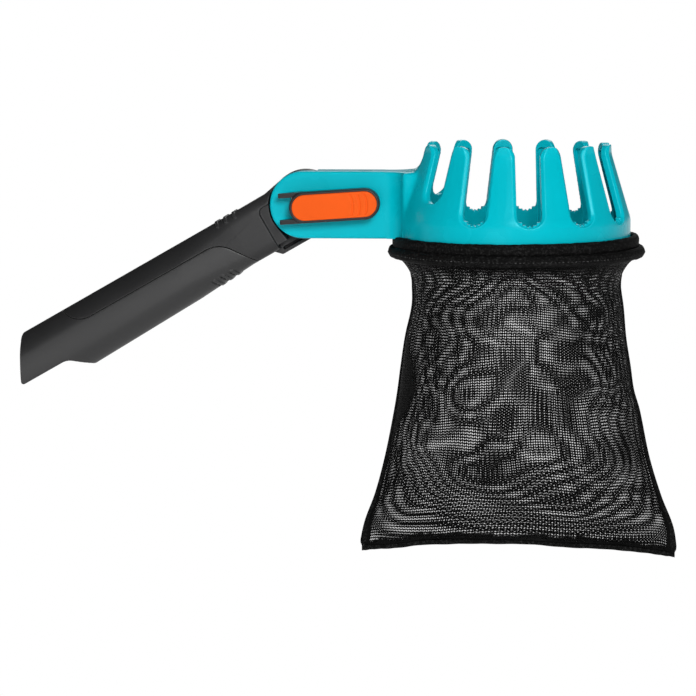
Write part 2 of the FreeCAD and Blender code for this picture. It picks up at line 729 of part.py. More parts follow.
def pivot_bush():
    return ring_y(BOLT_RADIUS + RUNNING_GAP + BUSH_WALL, BOLT_RADIUS + RUNNING_GAP, TONGUE_Y, WEB_Y)


def friction_ring():
    return ring_y(FRICTION_RING_OUTER, FRICTION_RING_INNER, CHEEK_Y + SEAT_GAP, TONGUE_Y)


def rear_cap():
    """A shallow domed cap that snaps into the rear pocket over the nut."""
    rim = REAR_POCKET_RADIUS + CAP_RIM
    low = FAR_Y + SEAT_GAP
    mid = low + CAP_THICK
    high = mid + CAP_DOME
    skirt_outer = REAR_POCKET_RADIUS - SEAT_GAP
    skirt_inner = skirt_outer - CAP_SKIRT
    foot = low - CAP_SKIRT_DEPTH
    ball = (rim * rim + CAP_DOME * CAP_DOME) / (2 * CAP_DOME)
    half_turn = math.asin(rim / ball) / 2
    shoulder = Vector(ball * math.sin(half_turn), high - ball + ball * math.cos(half_turn), 0)
    edges = [
        Part.LineSegment(Vector(skirt_outer, foot, 0), Vector(skirt_outer, low, 0)).toShape(),
        Part.LineSegment(Vector(skirt_outer, low, 0), Vector(rim, low, 0)).toShape(),
        Part.LineSegment(Vector(rim, low, 0), Vector(rim, mid, 0)).toShape(),
        Part.Arc(Vector(rim, mid, 0), shoulder, Vector(0, high, 0)).toShape(),
        Part.LineSegment(Vector(0, high, 0), Vector(0, mid, 0)).toShape(),
        Part.LineSegment(Vector(0, mid, 0), Vector(skirt_inner, mid, 0)).toShape(),
        Part.LineSegment(Vector(skirt_inner, mid, 0), Vector(skirt_inner, foot, 0)).toShape(),
        Part.LineSegment(Vector(skirt_inner, foot, 0), Vector(skirt_outer, foot, 0)).toShape(),
    ]
    return Part.Face(Part.Wire(edges)).revolve(PIVOT, AXIS_Y, 360.0)


# Handle, drawn straight along X with its far end at minus X, then turned to its slope

def grip_turned(shape):
    turned = shape.copy()
    turned.rotate(PIVOT, AXIS_Y, -GRIP_SLOPE)
    return turned


def grip_section(x, top, drop, half_width, corner):
    points = [
        Vector(x, -half_width, -drop),
        Vector(x, half_width, -drop),
        Vector(x, half_width, top),
        Vector(x, -half_width, top),
    ]
    return Part.Wire(rounded_edges(points, [corner] * len(points)))


def grip_body(grow=0.0):
    """The handle's full outer form from the far end to the joint's neck, grown all round."""
    neck_width = (GRIP_HALF_WIDTH + GRIP_NECK_HALF_WIDTH) / 2
    stations = [
        (-GRIP_LENGTH - CUT_OVER, GRIP_TOP, GRIP_FAR_DROP, GRIP_HALF_WIDTH, GRIP_CORNER),
        (-SOCKET_END, GRIP_TOP, GRIP_FAR_DROP, GRIP_HALF_WIDTH, GRIP_CORNER),
        (-GRIP_MIDDLE, GRIP_TOP, GRIP_MIDDLE_DROP, GRIP_HALF_WIDTH, GRIP_CORNER),
        (-NECK_END, GRIP_TOP, GRIP_NEAR_DROP, neck_width, GRIP_NECK_CORNER),
        (-NECK_START, NECK_TOP, GRIP_NEAR_DROP, GRIP_NECK_HALF_WIDTH, GRIP_NECK_CORNER),
        (-NECK_FRONT, NECK_TOP, GRIP_NEAR_DROP, GRIP_NECK_HALF_WIDTH, GRIP_NECK_CORNER),
    ]
    wires = [grip_section(x, *[size + grow for size in sizes]) for x, *sizes in stations]
    return Part.makeLoft(wires, True, True)


def neck_clearance():
    """What the near side of the neck leaves free: the arm's end, its swing and a recess by the shoulder."""
    near = -GRIP_HALF_WIDTH * 2
    reach = ARM_TOP + TONGUE_CLEAR
    swing = box(0, GRIP_LENGTH, near, TONGUE_Y, -reach, reach)
    swing.rotate(PIVOT, AXIS_Y, TILT_DOWN + GRIP_SLOPE)
    deep = -GRIP_FAR_DROP * 2
    corners = [(-SHOULDER_DROP, deep), (-SHOULDER_DROP, SHOULDER_TOP), (0, SHOULDER_TOP), (0, deep)]
    recess = side_prism(corners, [0, SHOULDER_CORNER, 0, 0], near, -(GRIP_NECK_HALF_WIDTH - NECK_RECESS))
    under = box(-SHOULDER_DROP, 0, near, TONGUE_Y, deep, -NECK_FACE_DROP)
    return [rod_y(reach, near, TONGUE_Y), swing, recess, under]


def nose_outline():
    """Side outline that shapes the far end: sloping nose above, open trough below."""
    far = -GRIP_LENGTH
    deep = GRIP_FAR_DROP * 2
    corners = [
        (0, -deep),
        (-(GRIP_LENGTH - TROUGH_LENGTH - TROUGH_SLOPE_LENGTH / 2) + TROUGH_SLOPE_LENGTH, -deep),
        (-(GRIP_LENGTH - TROUGH_LENGTH) - TROUGH_SLOPE_LENGTH / 2, -TROUGH_DROP),
        (far, -TROUGH_DROP),
        (far + NOSE_TOP_BACK, GRIP_TOP + CUT_OVER),
        (0, GRIP_TOP * 2),
    ]
    return corners, [0, 0, TROUGH_ROUND, NOSE_TIP_ROUND, NOSE_CORNER, 0]


def seam_region(gap):
    """The part of the side view above the S line, kept a gap clear of the line."""
    rear = -SEAM_REAR - gap
    deep = GRIP_FAR_DROP * 2
    high = GRIP_TOP * 2
    slope = SEAM_FRONT_RUN / (SEAM_HEIGHT + GRIP_NEAR_DROP)
    front_low = -(SEAM_FRONT - SEAM_FRONT_RUN) + (deep - GRIP_NEAR_DROP) * slope
    rear_high = rear - SEAM_REAR_RUN * (high - GRIP_TOP) / GRIP_TOP
    corners = [
        (rear_high, high),
        (rear + SEAM_REAR_RUN, SEAM_HEIGHT - gap),
        (-SEAM_FRONT - gap, SEAM_HEIGHT - gap),
        (front_low - gap, -deep),
        (GRIP_LENGTH, -deep),
        (GRIP_LENGTH, high),
    ]
    radii = [0, SEAM_ROUND, SEAM_ROUND, 0, 0, 0]
    return side_prism(corners, radii, -GRIP_HALF_WIDTH * 2, GRIP_HALF_WIDTH * 2)


def along_grip(radius, x0, x1):
    """A cylinder on the axis of the pole's socket."""
    return Part.makeCylinder(radius, x1 - x0, Vector(x0, 0, -BORE_DROP), Vector(1, 0, 0))


def tongue_plate():
    """The flat tongue behind the arm's cheek, with its lower flange and moulded pocket."""
    drop = TONGUE_FLANGE_DROP
    neck = side_prism(
        [
            (-NECK_END, NECK_TOP - TONGUE_ROOT_INSET),
            (-NECK_END, -GRIP_NEAR_DROP + TONGUE_ROOT_INSET),
            (-TONGUE_FLANGE_END - drop + GRIP_NEAR_DROP, -GRIP_NEAR_DROP),
            (-TONGUE_FLANGE_END, -drop),
            (0, -drop),
            (0, TONGUE_RAMP_TOP),
            (-TONGUE_RAMP_END, TONGUE_RAMP_TOP),
            (-TONGUE_RAMP_START, NECK_TOP),
            (-NECK_START, NECK_TOP),
        ],
        [0, 0, 0, 0, 0, 0, 0, 0, 0],
        TONGUE_Y,
        FAR_Y,
    )
    plate = neck.fuse(rod_y(TONGUE_RADIUS, TONGUE_Y, FAR_Y))
    pocket_low = -drop + TONGUE_FLANGE_WALL
    pocket = box(
        -TONGUE_FLANGE_END + TONGUE_FLANGE_WALL,
        -TONGUE_POCKET_START,
        TONGUE_Y - CUT_OVER,
        TONGUE_Y + TONGUE_POCKET_DEPTH,
        pocket_low,
        pocket_low + TONGUE_POCKET_WIDTH,
    )
    return plate.cut(pocket).common(seam_region(0.0))


def joint_moulding():
    """Upper moulding of the handle, with the tongue of the tilt joint."""
    corners, radii = nose_outline()
    whole = grip_body().common(side_prism(corners, radii, -GRIP_HALF_WIDTH * 2, GRIP_HALF_WIDTH * 2))
    upper = whole.common(seam_region(0.0))
    upper = upper.cut(neck_clearance())
    upper = upper.fuse(tongue_plate())
    skin = grip_body(GRIP_RIB_RISE)
    wide = GRIP_HALF_WIDTH * 2
    for i in range(GRIP_RIBS):
        x = -(GRIP_RIB_START + i * GRIP_RIB_PITCH)
        half = GRIP_RIB_THICK / 2
        band = box(x - half, x + half, -wide, wide, GRIP_TOP - GRIP_RIB_WRAP, GRIP_TOP * 2)
        upper = upper.fuse(skin.common(band))
    upper = upper.removeSplitter()
    bore = along_grip(SLEEVE_RADIUS + RUNNING_GAP, -GRIP_LENGTH * 2, -SOCKET_START)
    upper = upper.cut(bore)
    upper = upper.cut(rod_y(BOLT_RADIUS + RUNNING_GAP + BUSH_WALL, -GRIP_LENGTH, FAR_Y * 2))
    upper = upper.cut(rod_y(REAR_POCKET_RADIUS, WEB_Y, FAR_Y * 2))
    return grip_turned(upper)


def grip_moulding():
    """Lower and rear moulding of the handle, with the open trough at the far end."""
    corners, radii = nose_outline()
    whole = grip_body().common(side_prism(corners, radii, -GRIP_HALF_WIDTH * 2, GRIP_HALF_WIDTH * 2))
    lower = whole.cut(seam_region(SEAM_GAP))
    lower = lower.cut(along_grip(SLEEVE_RADIUS + RUNNING_GAP, -GRIP_LENGTH * 2, -SOCKET_START))
    skin = grip_body(GRIP_RIDGE_RISE)
    core = grip_body(-GRIP_NOTCH_DEPTH)
    wide = GRIP_HALF_WIDTH * 2
    middle = box(-GRIP_LENGTH, 0, -GRIP_NOTCH_MIDDLE, GRIP_NOTCH_MIDDLE, -GRIP_FAR_DROP * 2, 0)
    for i in range(GRIP_RIBS):
        x = -(GRIP_NOTCH_START + i * GRIP_RIB_PITCH)
        ridge = leaning_band(x, GRIP_RIDGE_LENGTH, wide).common(skin)
        ridge = ridge.cut(along_grip(SLEEVE_RADIUS + RUNNING_GAP, -GRIP_LENGTH * 2, -SOCKET_START))
        lower = lower.fuse(ridge)
        lower = lower.cut(leaning_band(x - GRIP_NOTCH_LENGTH, GRIP_NOTCH_LENGTH, wide).cut([core, middle]))
    return grip_turned(lower.removeSplitter())


def leaning_band(x, length, wide):
    """A slab across the underside of the handle, that leans back as it goes up."""
    low, high = -GRIP_FAR_DROP * 2, -GRIP_NOTCH_TOP
    lean = (high + GRIP_NEAR_DROP) * GRIP_NOTCH_LEAN
    drop = (low + GRIP_NEAR_DROP) * GRIP_NOTCH_LEAN
    corners = [(x - drop, low), (x + length - drop, low), (x + length - lean, high), (x - lean, high)]
    return side_prism(corners, [0, 0, 0, 0], -wide, wide)


def pole_sleeve():
    """The tube that takes the pole, closed at its inner end."""
    tube = along_grip(SLEEVE_RADIUS, -SOCKET_END, -SOCKET_START)
    bore = along_grip(BORE_RADIUS, -SOCKET_END - CUT_OVER, -SOCKET_START - SLEEVE_FLOOR)
    return grip_turned(tube.cut(bore))


# Net bag

def bag_half_width(share):
    return BAG_NECK_RADIUS + (BAG_FOOT_HALF_WIDTH - BAG_NECK_RADIUS) * share ** BAG_WIDEN_POWER


def bag_half_depth(share):
    flat = (1 - share ** BAG_FLATTEN_POWER) ** BAG_FLATTEN_SHARE
    return BAG_FOOT_HALF_DEPTH + (BAG_NECK_RADIUS - BAG_FOOT_HALF_DEPTH) * flat


def bag_levels():
    """Height, half width, half depth and sideways place of each section, from the hem down."""
    hem_low = HEM_TOP + HEM_HEIGHT
    levels = [(-hem_low, BAG_TOP_RADIUS, BAG_TOP_RADIUS, 0.0)]
    for share, swell in BAG_BULGE_SHARES:
        radius = BAG_NECK_RADIUS + (BAG_BULGE_RADIUS - BAG_NECK_RADIUS) * swell
        drop = hem_low + (BAG_NECK_DROP - hem_low) * share
        levels.append((-drop, radius, radius, 0.0))
    for share in BAG_SECTION_SHARES:
        drop = BAG_NECK_DROP + (BAG_TOTAL_DROP - BAG_NECK_DROP) * share
        levels.append((-drop, bag_half_width(share), bag_half_depth(share), BAG_SHIFT * share))
    return levels


def bag_section(level, inset):
    """One section as four arcs of an oval."""
    z, a, b, shift = level
    a, b = a - inset, max(b - inset, BAG_FOOT_HALF_DEPTH / 4)
    centre = Vector(CROWN_OFFSET + shift, 0, z)
    if abs(a - b) < SAME_PLACE:
        curve = Part.Circle(centre, AXIS_Z, a)
        arc = Part.ArcOfCircle
    else:
        curve = Part.Ellipse(centre + Vector(a, 0, 0), centre + Vector(0, b, 0), centre)
        arc = Part.ArcOfEllipse
    quarter = math.pi / 2
    edges = [arc(curve, quarter * i, quarter * (i + 1)).toShape() for i in range(4)]
    return Part.Wire(edges)


def bag_solid(grow):
    """The bag's outer form as a full solid, grown all round."""
    return Part.makeLoft([bag_section(level, -grow) for level in bag_levels()], True, False)


def bag_body():
    levels = bag_levels()
    raised = (levels[0][0] + CUT_OVER,) + levels[0][1:]
    inner_levels = [raised] + levels[:-1] + [(levels[-1][0] + BAG_WALL,) + levels[-1][1:]]
    inner = Part.makeLoft([bag_section(level, BAG_WALL) for level in inner_levels], True, False)
    return bag_solid(0.0).cut(inner)


def bag_panels():
    body = bag_body()
    reach = CROWN_OFFSET * 2
    near_half = box(-reach, reach * 2, -reach, 0, -BAG_TOTAL_DROP * 2, 0)
    return body.common(near_half), body.cut(near_half)


def seam_strip(side):
    """The sewn edge down one side of the bag, from the neck to the foot seam."""
    half = SEAM_STRIP_THICK / 2
    x0, x1 = sorted([CROWN_OFFSET, CROWN_OFFSET + side * CROWN_OFFSET * 2])
    slab = box(x0, x1, -half, half, -BAG_TOTAL_DROP, -BAG_NECK_DROP)
    return bag_solid(SEAM_STRIP_WIDTH).common(slab).cut(bag_solid(SEAT_GAP))


def foot_seam():
    """The sewn edge along the bottom of the bag."""
    half = BAG_FOOT_HALF_WIDTH + SEAT_GAP + SEAM_STRIP_WIDTH
    middle = CROWN_OFFSET + BAG_SHIFT
    top = -BAG_TOTAL_DROP - SEAT_GAP
    corners = [
        (middle - half, top - FOOT_SEAM_HEIGHT),
        (middle + half, top - FOOT_SEAM_HEIGHT),
        (middle + half, top),
        (middle - half, top),
    ]
    corner = FOOT_SEAM_HEIGHT / 4
    return side_prism(corners, [corner, corner, 0, 0], -FOOT_SEAM_THICK / 2, FOOT_SEAM_THICK / 2)


def hem_face(outer, inner, top_z, foot_z, corner):
    base = CROWN_OFFSET
    points = [
        Vector(base + inner, 0, foot_z),
        Vector(base + outer, 0, foot_z),
        Vector(base + outer, 0, top_z),
        Vector(base + inner, 0, top_z),
    ]
    return rounded_face(points, [0, 0, corner, corner])


def bag_hem():
    """The hem folded over its elastic cord, open below."""
    round_top = (HEM_OUTER - HEM_INNER) / 3
    folded = spun(hem_face(HEM_OUTER, HEM_INNER, -HEM_TOP, -HEM_TOP - HEM_HEIGHT, round_top))
    wall = HEM_WALL
    open_end = -HEM_TOP - HEM_HEIGHT - CUT_OVER
    void = spun(hem_face(HEM_OUTER - wall, HEM_INNER + wall, -HEM_TOP - wall, open_end, wall / 2))
    return folded.cut(void)


def hem_cord():
    middle = (HEM_OUTER + HEM_INNER) / 2
    z = -HEM_TOP - HEM_WALL - HEM_CORD_RADIUS - SEAT_GAP
    return Part.makeTorus(middle, HEM_CORD_RADIUS, Vector(CROWN_OFFSET, 0, z), AXIS_Z)


SLOPE = math.radians(GRIP_SLOPE)
SOCKET_MOUTH = Vector(
    -SOCKET_END * math.cos(SLOPE) + BORE_DROP * math.sin(SLOPE),
    0,
    -SOCKET_END * math.sin(SLOPE) - BORE_DROP * math.cos(SLOPE),
)

os.makedirs("parts", exist_ok=True)
front_panel, back_panel = bag_panels()
PIECES = {
    "joint_moulding": joint_moulding(),
    "grip_moulding": grip_moulding(),
    "pole_sleeve": pole_sleeve(),
    "pivot_bush": pivot_bush(),
    "friction_ring": friction_ring(),
    "rear_cap": rear_cap(),
    "crown_and_arm": crown_and_arm(),
    "clamp_bolt": clamp_bolt(),
    "cam_saddle": cam_saddle(),
    "thrust_washer": thrust_washer(),
    "disc_springs": disc_springs(),
    "lock_nut": lock_nut(),
    "lever_pin": lever_pin(),
    "lever_frame": lever_frame(),
    "lever_inlay": lever_inlay(),
    "bag_front_panel": front_panel,
    "bag_back_panel": back_panel,
    "bag_side_seam_inner": seam_strip(-1),
    "bag_side_seam_outer": seam_strip(1),
    "bag_foot_seam": foot_seam(),
    "bag_hem": bag_hem(),
    "hem_cord": hem_cord(),
}
for node, shape in PIECES.items():
    save(node, shape)
    size = shape.BoundBox
    corners = (size.XMin, size.XMax, size.YMin, size.YMax, size.ZMin, size.ZMax)
    print("%-20s solids %d valid %s" % (node, len(shape.Solids), shape.isValid()), end=" ")
    print("volume %.0f  x %.1f..%.1f y %.1f..%.1f z %.1f..%.1f" % (shape.Volume, *corners))
print("pivot from the socket mouth: %.3f %.3f %.3f" % tuple(-SOCKET_MOUTH))
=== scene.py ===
"""Looks of a fruit collector: a moulded ring of fingers on a tilting arm, a hollow handle and a net bag."""

import json
import math

import bpy
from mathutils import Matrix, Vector, noise


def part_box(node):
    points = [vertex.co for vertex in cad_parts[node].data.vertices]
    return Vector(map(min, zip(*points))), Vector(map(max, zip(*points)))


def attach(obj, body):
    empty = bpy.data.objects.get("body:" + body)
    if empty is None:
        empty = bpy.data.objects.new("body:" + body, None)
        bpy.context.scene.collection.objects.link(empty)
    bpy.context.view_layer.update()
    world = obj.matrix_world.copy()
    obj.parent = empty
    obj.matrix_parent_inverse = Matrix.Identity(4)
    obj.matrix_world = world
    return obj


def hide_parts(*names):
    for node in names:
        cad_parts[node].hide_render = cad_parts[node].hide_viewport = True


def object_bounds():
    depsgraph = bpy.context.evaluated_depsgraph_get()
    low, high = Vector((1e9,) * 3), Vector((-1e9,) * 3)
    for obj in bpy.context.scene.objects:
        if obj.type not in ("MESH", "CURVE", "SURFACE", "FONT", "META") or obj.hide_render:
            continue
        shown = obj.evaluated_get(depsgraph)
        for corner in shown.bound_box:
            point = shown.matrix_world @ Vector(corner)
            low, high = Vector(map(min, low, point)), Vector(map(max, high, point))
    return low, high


bl_info = {
    "name": "Fruit collector looks",
    "version": (1, 0, 0),
    "blender": (4, 5, 0),
    "location": "3D View > Sidebar > Fruit collector",
    "description": "Builds the visible surfaces of a fruit collector round its packed solids",
    "category": "Object",
}

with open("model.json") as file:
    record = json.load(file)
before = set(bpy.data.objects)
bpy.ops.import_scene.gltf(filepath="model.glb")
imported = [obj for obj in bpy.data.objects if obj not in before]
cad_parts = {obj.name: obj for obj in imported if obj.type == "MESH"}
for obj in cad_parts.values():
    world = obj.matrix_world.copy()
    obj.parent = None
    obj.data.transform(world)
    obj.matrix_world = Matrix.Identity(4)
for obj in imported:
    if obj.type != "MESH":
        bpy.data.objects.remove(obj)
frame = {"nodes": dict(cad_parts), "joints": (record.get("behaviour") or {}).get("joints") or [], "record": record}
CAD_LOW, CAD_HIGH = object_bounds()

MM = 0.001


def mm(*values):
    """A point or size typed in millimetres, in metres."""
    return Vector([value * MM for value in values])


def joint_place(name):
    for joint in frame["joints"]:
        if joint["name"] == name:
            return Vector(joint["pos_m"])
    raise RuntimeError("the frame has no joint named " + name)


PIVOT = joint_place("head_tilt")
HEM_LOW, HEM_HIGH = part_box("bag_hem")
MERGE_DISTANCE = MM / 1000
MOST_TRIANGLES = 180000
SMOOTH_SHARE = 0.5
RING_CENTRE = Vector(((HEM_LOW.x + HEM_HIGH.x) / 2, 0.0, PIVOT.z))


# Settings


class CollectorColours(bpy.types.PropertyGroup):
    """Colours of the fruit collector's materials."""

    teal: bpy.props.FloatVectorProperty(
        name="Ring and arm", description="Teal of the moulded ring and arm", subtype="COLOR", size=3,
        default=(0.0, 0.43, 0.515), min=0.0, max=1.0,
    )
    charcoal: bpy.props.FloatVectorProperty(
        name="Handle", description="Charcoal of the two handle mouldings", subtype="COLOR", size=3,
        default=(0.020, 0.020, 0.0205), min=0.0, max=1.0,
    )
    black: bpy.props.FloatVectorProperty(
        name="Lever frame", description="Black of the lever frame, sleeve and cap", subtype="COLOR", size=3,
        default=(0.016, 0.016, 0.017), min=0.0, max=1.0,
    )
    orange: bpy.props.FloatVectorProperty(
        name="Lever inlay", description="Orange of the lever's inlay", subtype="COLOR", size=3,
        default=(0.80, 0.1, 0.0095), min=0.0, max=1.0,
    )
    yarn: bpy.props.FloatVectorProperty(
        name="Net", description="Black of the net's yarn", subtype="COLOR", size=3,
        default=(0.003, 0.003, 0.003), min=0.0, max=1.0,
    )
    steel: bpy.props.FloatVectorProperty(
        name="Fasteners", description="Zinc colour of bolt, pin, nut and washers", subtype="COLOR", size=3,
        default=(0.56, 0.57, 0.58), min=0.0, max=1.0,
    )
    acetal: bpy.props.FloatVectorProperty(
        name="Bush and saddle", description="White of the moulded bush and saddle", subtype="COLOR", size=3,
        default=(0.62, 0.62, 0.60), min=0.0, max=1.0,
    )


class CollectorSizes(bpy.types.PropertyGroup):
    """Sizes of the fruit collector's surface detail and of the view."""

    ring_voxel: bpy.props.FloatProperty(
        name="Ring detail", description="Size of the squares that the ring's surface is made of",
        default=0.5 * MM, min=0.4 * MM, max=2 * MM, unit="LENGTH", precision=5,
    )
    handle_voxel: bpy.props.FloatProperty(
        name="Handle detail", description="Size of the squares that the handle's surface is made of",
        default=0.55 * MM, min=0.4 * MM, max=2 * MM, unit="LENGTH", precision=5,
    )
    lever_voxel: bpy.props.FloatProperty(
        name="Lever detail", description="Size of the squares that the lever's surface is made of",
        default=0.35 * MM, min=0.2 * MM, max=1 * MM, unit="LENGTH", precision=5,
    )
    net_stitch: bpy.props.FloatProperty(
        name="Net stitch", description="Width of one stitch of the net, with one hole",
        default=1.2 * MM, min=0.6 * MM, max=6 * MM, unit="LENGTH", precision=5,
    )
    net_row: bpy.props.FloatProperty(
        name="Net row", description="Height of one row of the net's stitches",
        default=1.67 * MM, min=0.6 * MM, max=6 * MM, unit="LENGTH", precision=5,
    )
    net_thickness: bpy.props.FloatProperty(
        name="Net thickness", description="Thickness of the net's cloth",
        default=0.2 * MM, min=0.1 * MM, max=2 * MM, unit="LENGTH", precision=5,
    )
    camera_distance: bpy.props.FloatProperty(
        name="Camera distance", description="From the aim point to the camera",
        default=1.346, min=0.3, max=10.0, unit="LENGTH",
    )
    camera_lens: bpy.props.FloatProperty(
        name="Camera lens", description="Focal length on a 36 mm sensor", default=113.8, min=20.0, max=300.0,
    )


def colours():
    return bpy.context.scene.collector_colours


def sizes():
    return bpy.context.scene.collector_sizes


# Modelling helpers


def deselect_all():
    if bpy.context.object and bpy.context.object.mode != "OBJECT":
        bpy.ops.object.mode_set(mode="OBJECT")
    bpy.ops.object.select_all(action="DESELECT")


def make_active(piece):
    deselect_all()
    piece.select_set(True)
    bpy.context.view_layer.objects.active = piece


def add_modifier(piece, kind, **settings):
    """Adds a modifier and applies it."""
    make_active(piece)
    modifier = piece.modifiers.new(kind.lower(), kind)
    for key, value in settings.items():
        setattr(modifier, key, value)
    bpy.ops.object.modifier_apply(modifier=modifier.name)


def merged_copy(node, name):
    """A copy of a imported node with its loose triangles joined."""
    piece = bpy.data.objects.new(name, frame["nodes"][node].data.copy())
    bpy.context.scene.collection.objects.link(piece)
    piece.data.materials.clear()
    make_active(piece)
    if piece.data.has_custom_normals:
        bpy.ops.mesh.customdata_custom_splitnormals_clear()
    bpy.ops.object.mode_set(mode="EDIT")
    bpy.ops.mesh.select_all(action="SELECT")
    bpy.ops.mesh.remove_doubles(threshold=MERGE_DISTANCE)
    bpy.ops.object.mode_set(mode="OBJECT")
    return piece


def soften(piece, voxel, rounds):
    """Remakes a piece in small even squares and smooths them, so that its edges are moulded round."""
    make_active(piece)
    piece.data.remesh_voxel_size = voxel
    piece.data.use_remesh_preserve_volume = True
    bpy.ops.object.voxel_remesh()
    add_modifier(piece, "SMOOTH", factor=SMOOTH_SHARE, iterations=rounds)


def lighten(piece):
    """Thins a mesh of too many triangles, and keeps the shading of its flat faces flat."""
    triangles = 2 * len(piece.data.polygons)
    if triangles > MOST_TRIANGLES:
        add_modifier(piece, "DECIMATE", ratio=MOST_TRIANGLES / triangles)
    make_active(piece)
    bpy.ops.object.shade_smooth()
    add_modifier(piece, "WEIGHTED_NORMAL", mode="FACE_AREA", weight=50)


def finish_piece(piece, material, body, slot, *nodes):
    """Gives a piece its material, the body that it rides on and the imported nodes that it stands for."""
    piece.data.materials.clear()
    piece.data.materials.append(material)
    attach(piece, body)
    if nodes:
        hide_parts(*nodes)


# Materials


NOISE_LOW, NOISE_HIGH = 0.3, 0.7
MOTTLE_SCALE = 35.0
MOTTLE_DARK, MOTTLE_PALE = 0.96, 1.04
EDGE_POINTINESS, EDGE_SHARPEST, EDGE_SHARE = 0.51, 0.59, 0.75
EDGE_LIFT = 0.02
GRAIN_STRENGTH = 0.35
ROUGH_BELOW, ROUGH_ABOVE = 0.04, 0.05


def blank_material(name):
    material = bpy.data.materials.new(name)
    material.use_nodes = True
    tree = material.node_tree
    return material, tree, tree.nodes["Principled BSDF"]


def add_node(tree, kind, label, **settings):
    node = tree.nodes.new(kind)
    node.label = label
    for key, value in settings.items():
        setattr(node, key, value)
    return node


def noise_field(tree, coordinates, label, scale, detail, roughness=0.5):
    field = add_node(tree, "ShaderNodeTexNoise", label)
    field.inputs["Scale"].default_value = scale
    field.inputs["Detail"].default_value = detail
    field.inputs["Roughness"].default_value = roughness
    tree.links.new(coordinates, field.inputs["Vector"])
    return field.outputs["Fac"]


def spread(tree, value, label, from_low, from_high, to_low, to_high):
    """Maps one range of a value on another."""
    spreader = add_node(tree, "ShaderNodeMapRange", label)
    sockets = ("From Min", "From Max", "To Min", "To Max")
    for socket, number in zip(sockets, (from_low, from_high, to_low, to_high)):
        spreader.inputs[socket].default_value = number
    tree.links.new(value, spreader.inputs["Value"])
    return spreader.outputs["Result"]


def blend_colours(tree, share, label, first, second):
    mixer = add_node(tree, "ShaderNodeMix", label, data_type="RGBA")
    mixer.inputs["A"].default_value = (*first, 1.0)
    mixer.inputs["B"].default_value = (*second, 1.0)
    tree.links.new(share, mixer.inputs["Factor"])
    return mixer.outputs["Result"]


def calculate(tree, operation, label, first, second=None):
    """One step of arithmetic. Each side is a number or a socket."""
    step = add_node(tree, "ShaderNodeMath", label, operation=operation)
    for index, side in enumerate((first, second)):
        if side is None:
            continue
        if isinstance(side, (int, float)):
            step.inputs[index].default_value = side
        else:
            tree.links.new(side, step.inputs[index])
    return step.outputs[0]


def scaled(colour, factor):
    return tuple(min(1.0, channel * factor) for channel in colour)


def moulded_plastic(name, colour, roughness, gloss, grain_scale, grain_depth, edge_gain):
    """Injection-moulded plastic: faint mottle, a fine grain and edges painted paler, partly as a painted highlight
    along them and partly as rubbing wear.
    """
    material, tree, shader = blank_material(name)
    shader.inputs["Specular IOR Level"].default_value = gloss
    place = add_node(tree, "ShaderNodeTexCoord", "place").outputs["Object"]
    flow = noise_field(tree, place, "flow mottle", MOTTLE_SCALE, 3.0)
    cloud = spread(tree, flow, "mottle share", NOISE_LOW, NOISE_HIGH, 0.0, 1.0)
    tint = blend_colours(tree, cloud, "mottle", scaled(colour, MOTTLE_DARK), scaled(colour, MOTTLE_PALE))
    # Pointiness paints the rounded edges paler: a painted highlight along them, partly also standing for rubbing
    # wear.
    edges = add_node(tree, "ShaderNodeNewGeometry", "edges").outputs["Pointiness"]
    highlight_and_wear_share = spread(tree, edges, "rubbed edges", EDGE_POINTINESS, EDGE_SHARPEST, 0.0, EDGE_SHARE)
    edge_highlight_and_wear = add_node(tree, "ShaderNodeMix", "edge_highlight_and_wear", data_type="RGBA")
    lifted = [channel + EDGE_LIFT for channel in colour]
    edge_highlight_and_wear.inputs["B"].default_value = (*scaled(lifted, edge_gain), 1.0)
    tree.links.new(highlight_and_wear_share, edge_highlight_and_wear.inputs["Factor"])
    tree.links.new(tint, edge_highlight_and_wear.inputs["A"])
    tree.links.new(edge_highlight_and_wear.outputs["Result"], shader.inputs["Base Color"])
    grain = noise_field(tree, place, "grain", grain_scale, 2.0)
    low, high = roughness - ROUGH_BELOW, roughness + ROUGH_ABOVE
    rough = spread(tree, flow, "roughness", NOISE_LOW, NOISE_HIGH, low, high)
    tree.links.new(rough, shader.inputs["Roughness"])
    bump = add_node(tree, "ShaderNodeBump", "grain bump")
    bump.inputs["Strength"].default_value = GRAIN_STRENGTH
    bump.inputs["Distance"].default_value = grain_depth
    tree.links.new(grain, bump.inputs["Height"])
    tree.links.new(bump.outputs["Normal"], shader.inputs["Normal"])
    return material


def paint_shade_along(material, start, end, depth):
    """Paints shade into a material: darker at its start along X, evenly less so up to its end."""
    tree = material.node_tree
    colour = tree.nodes["Principled BSDF"].inputs["Base Color"]
    place = add_node(tree, "ShaderNodeTexCoord", "place along").outputs["Object"]
    parts = add_node(tree, "ShaderNodeSeparateXYZ", "along X")
    tree.links.new(place, parts.inputs[0])
    # Painted shade: the colour is mixed towards black by a share that falls off along X.
    painted_shade = add_node(tree, "ShaderNodeMix", "darker end", data_type="RGBA")
    painted_shade.inputs["B"].default_value = (0.0, 0.0, 0.0, 1.0)
    dark = spread(tree, parts.outputs[0], "share of dark", start, end, depth, 0.0)
    tree.links.new(dark, painted_shade.inputs["Factor"])
    tree.links.new(colour.links[0].from_socket, painted_shade.inputs["A"])
    tree.links.new(painted_shade.outputs["Result"], colour)


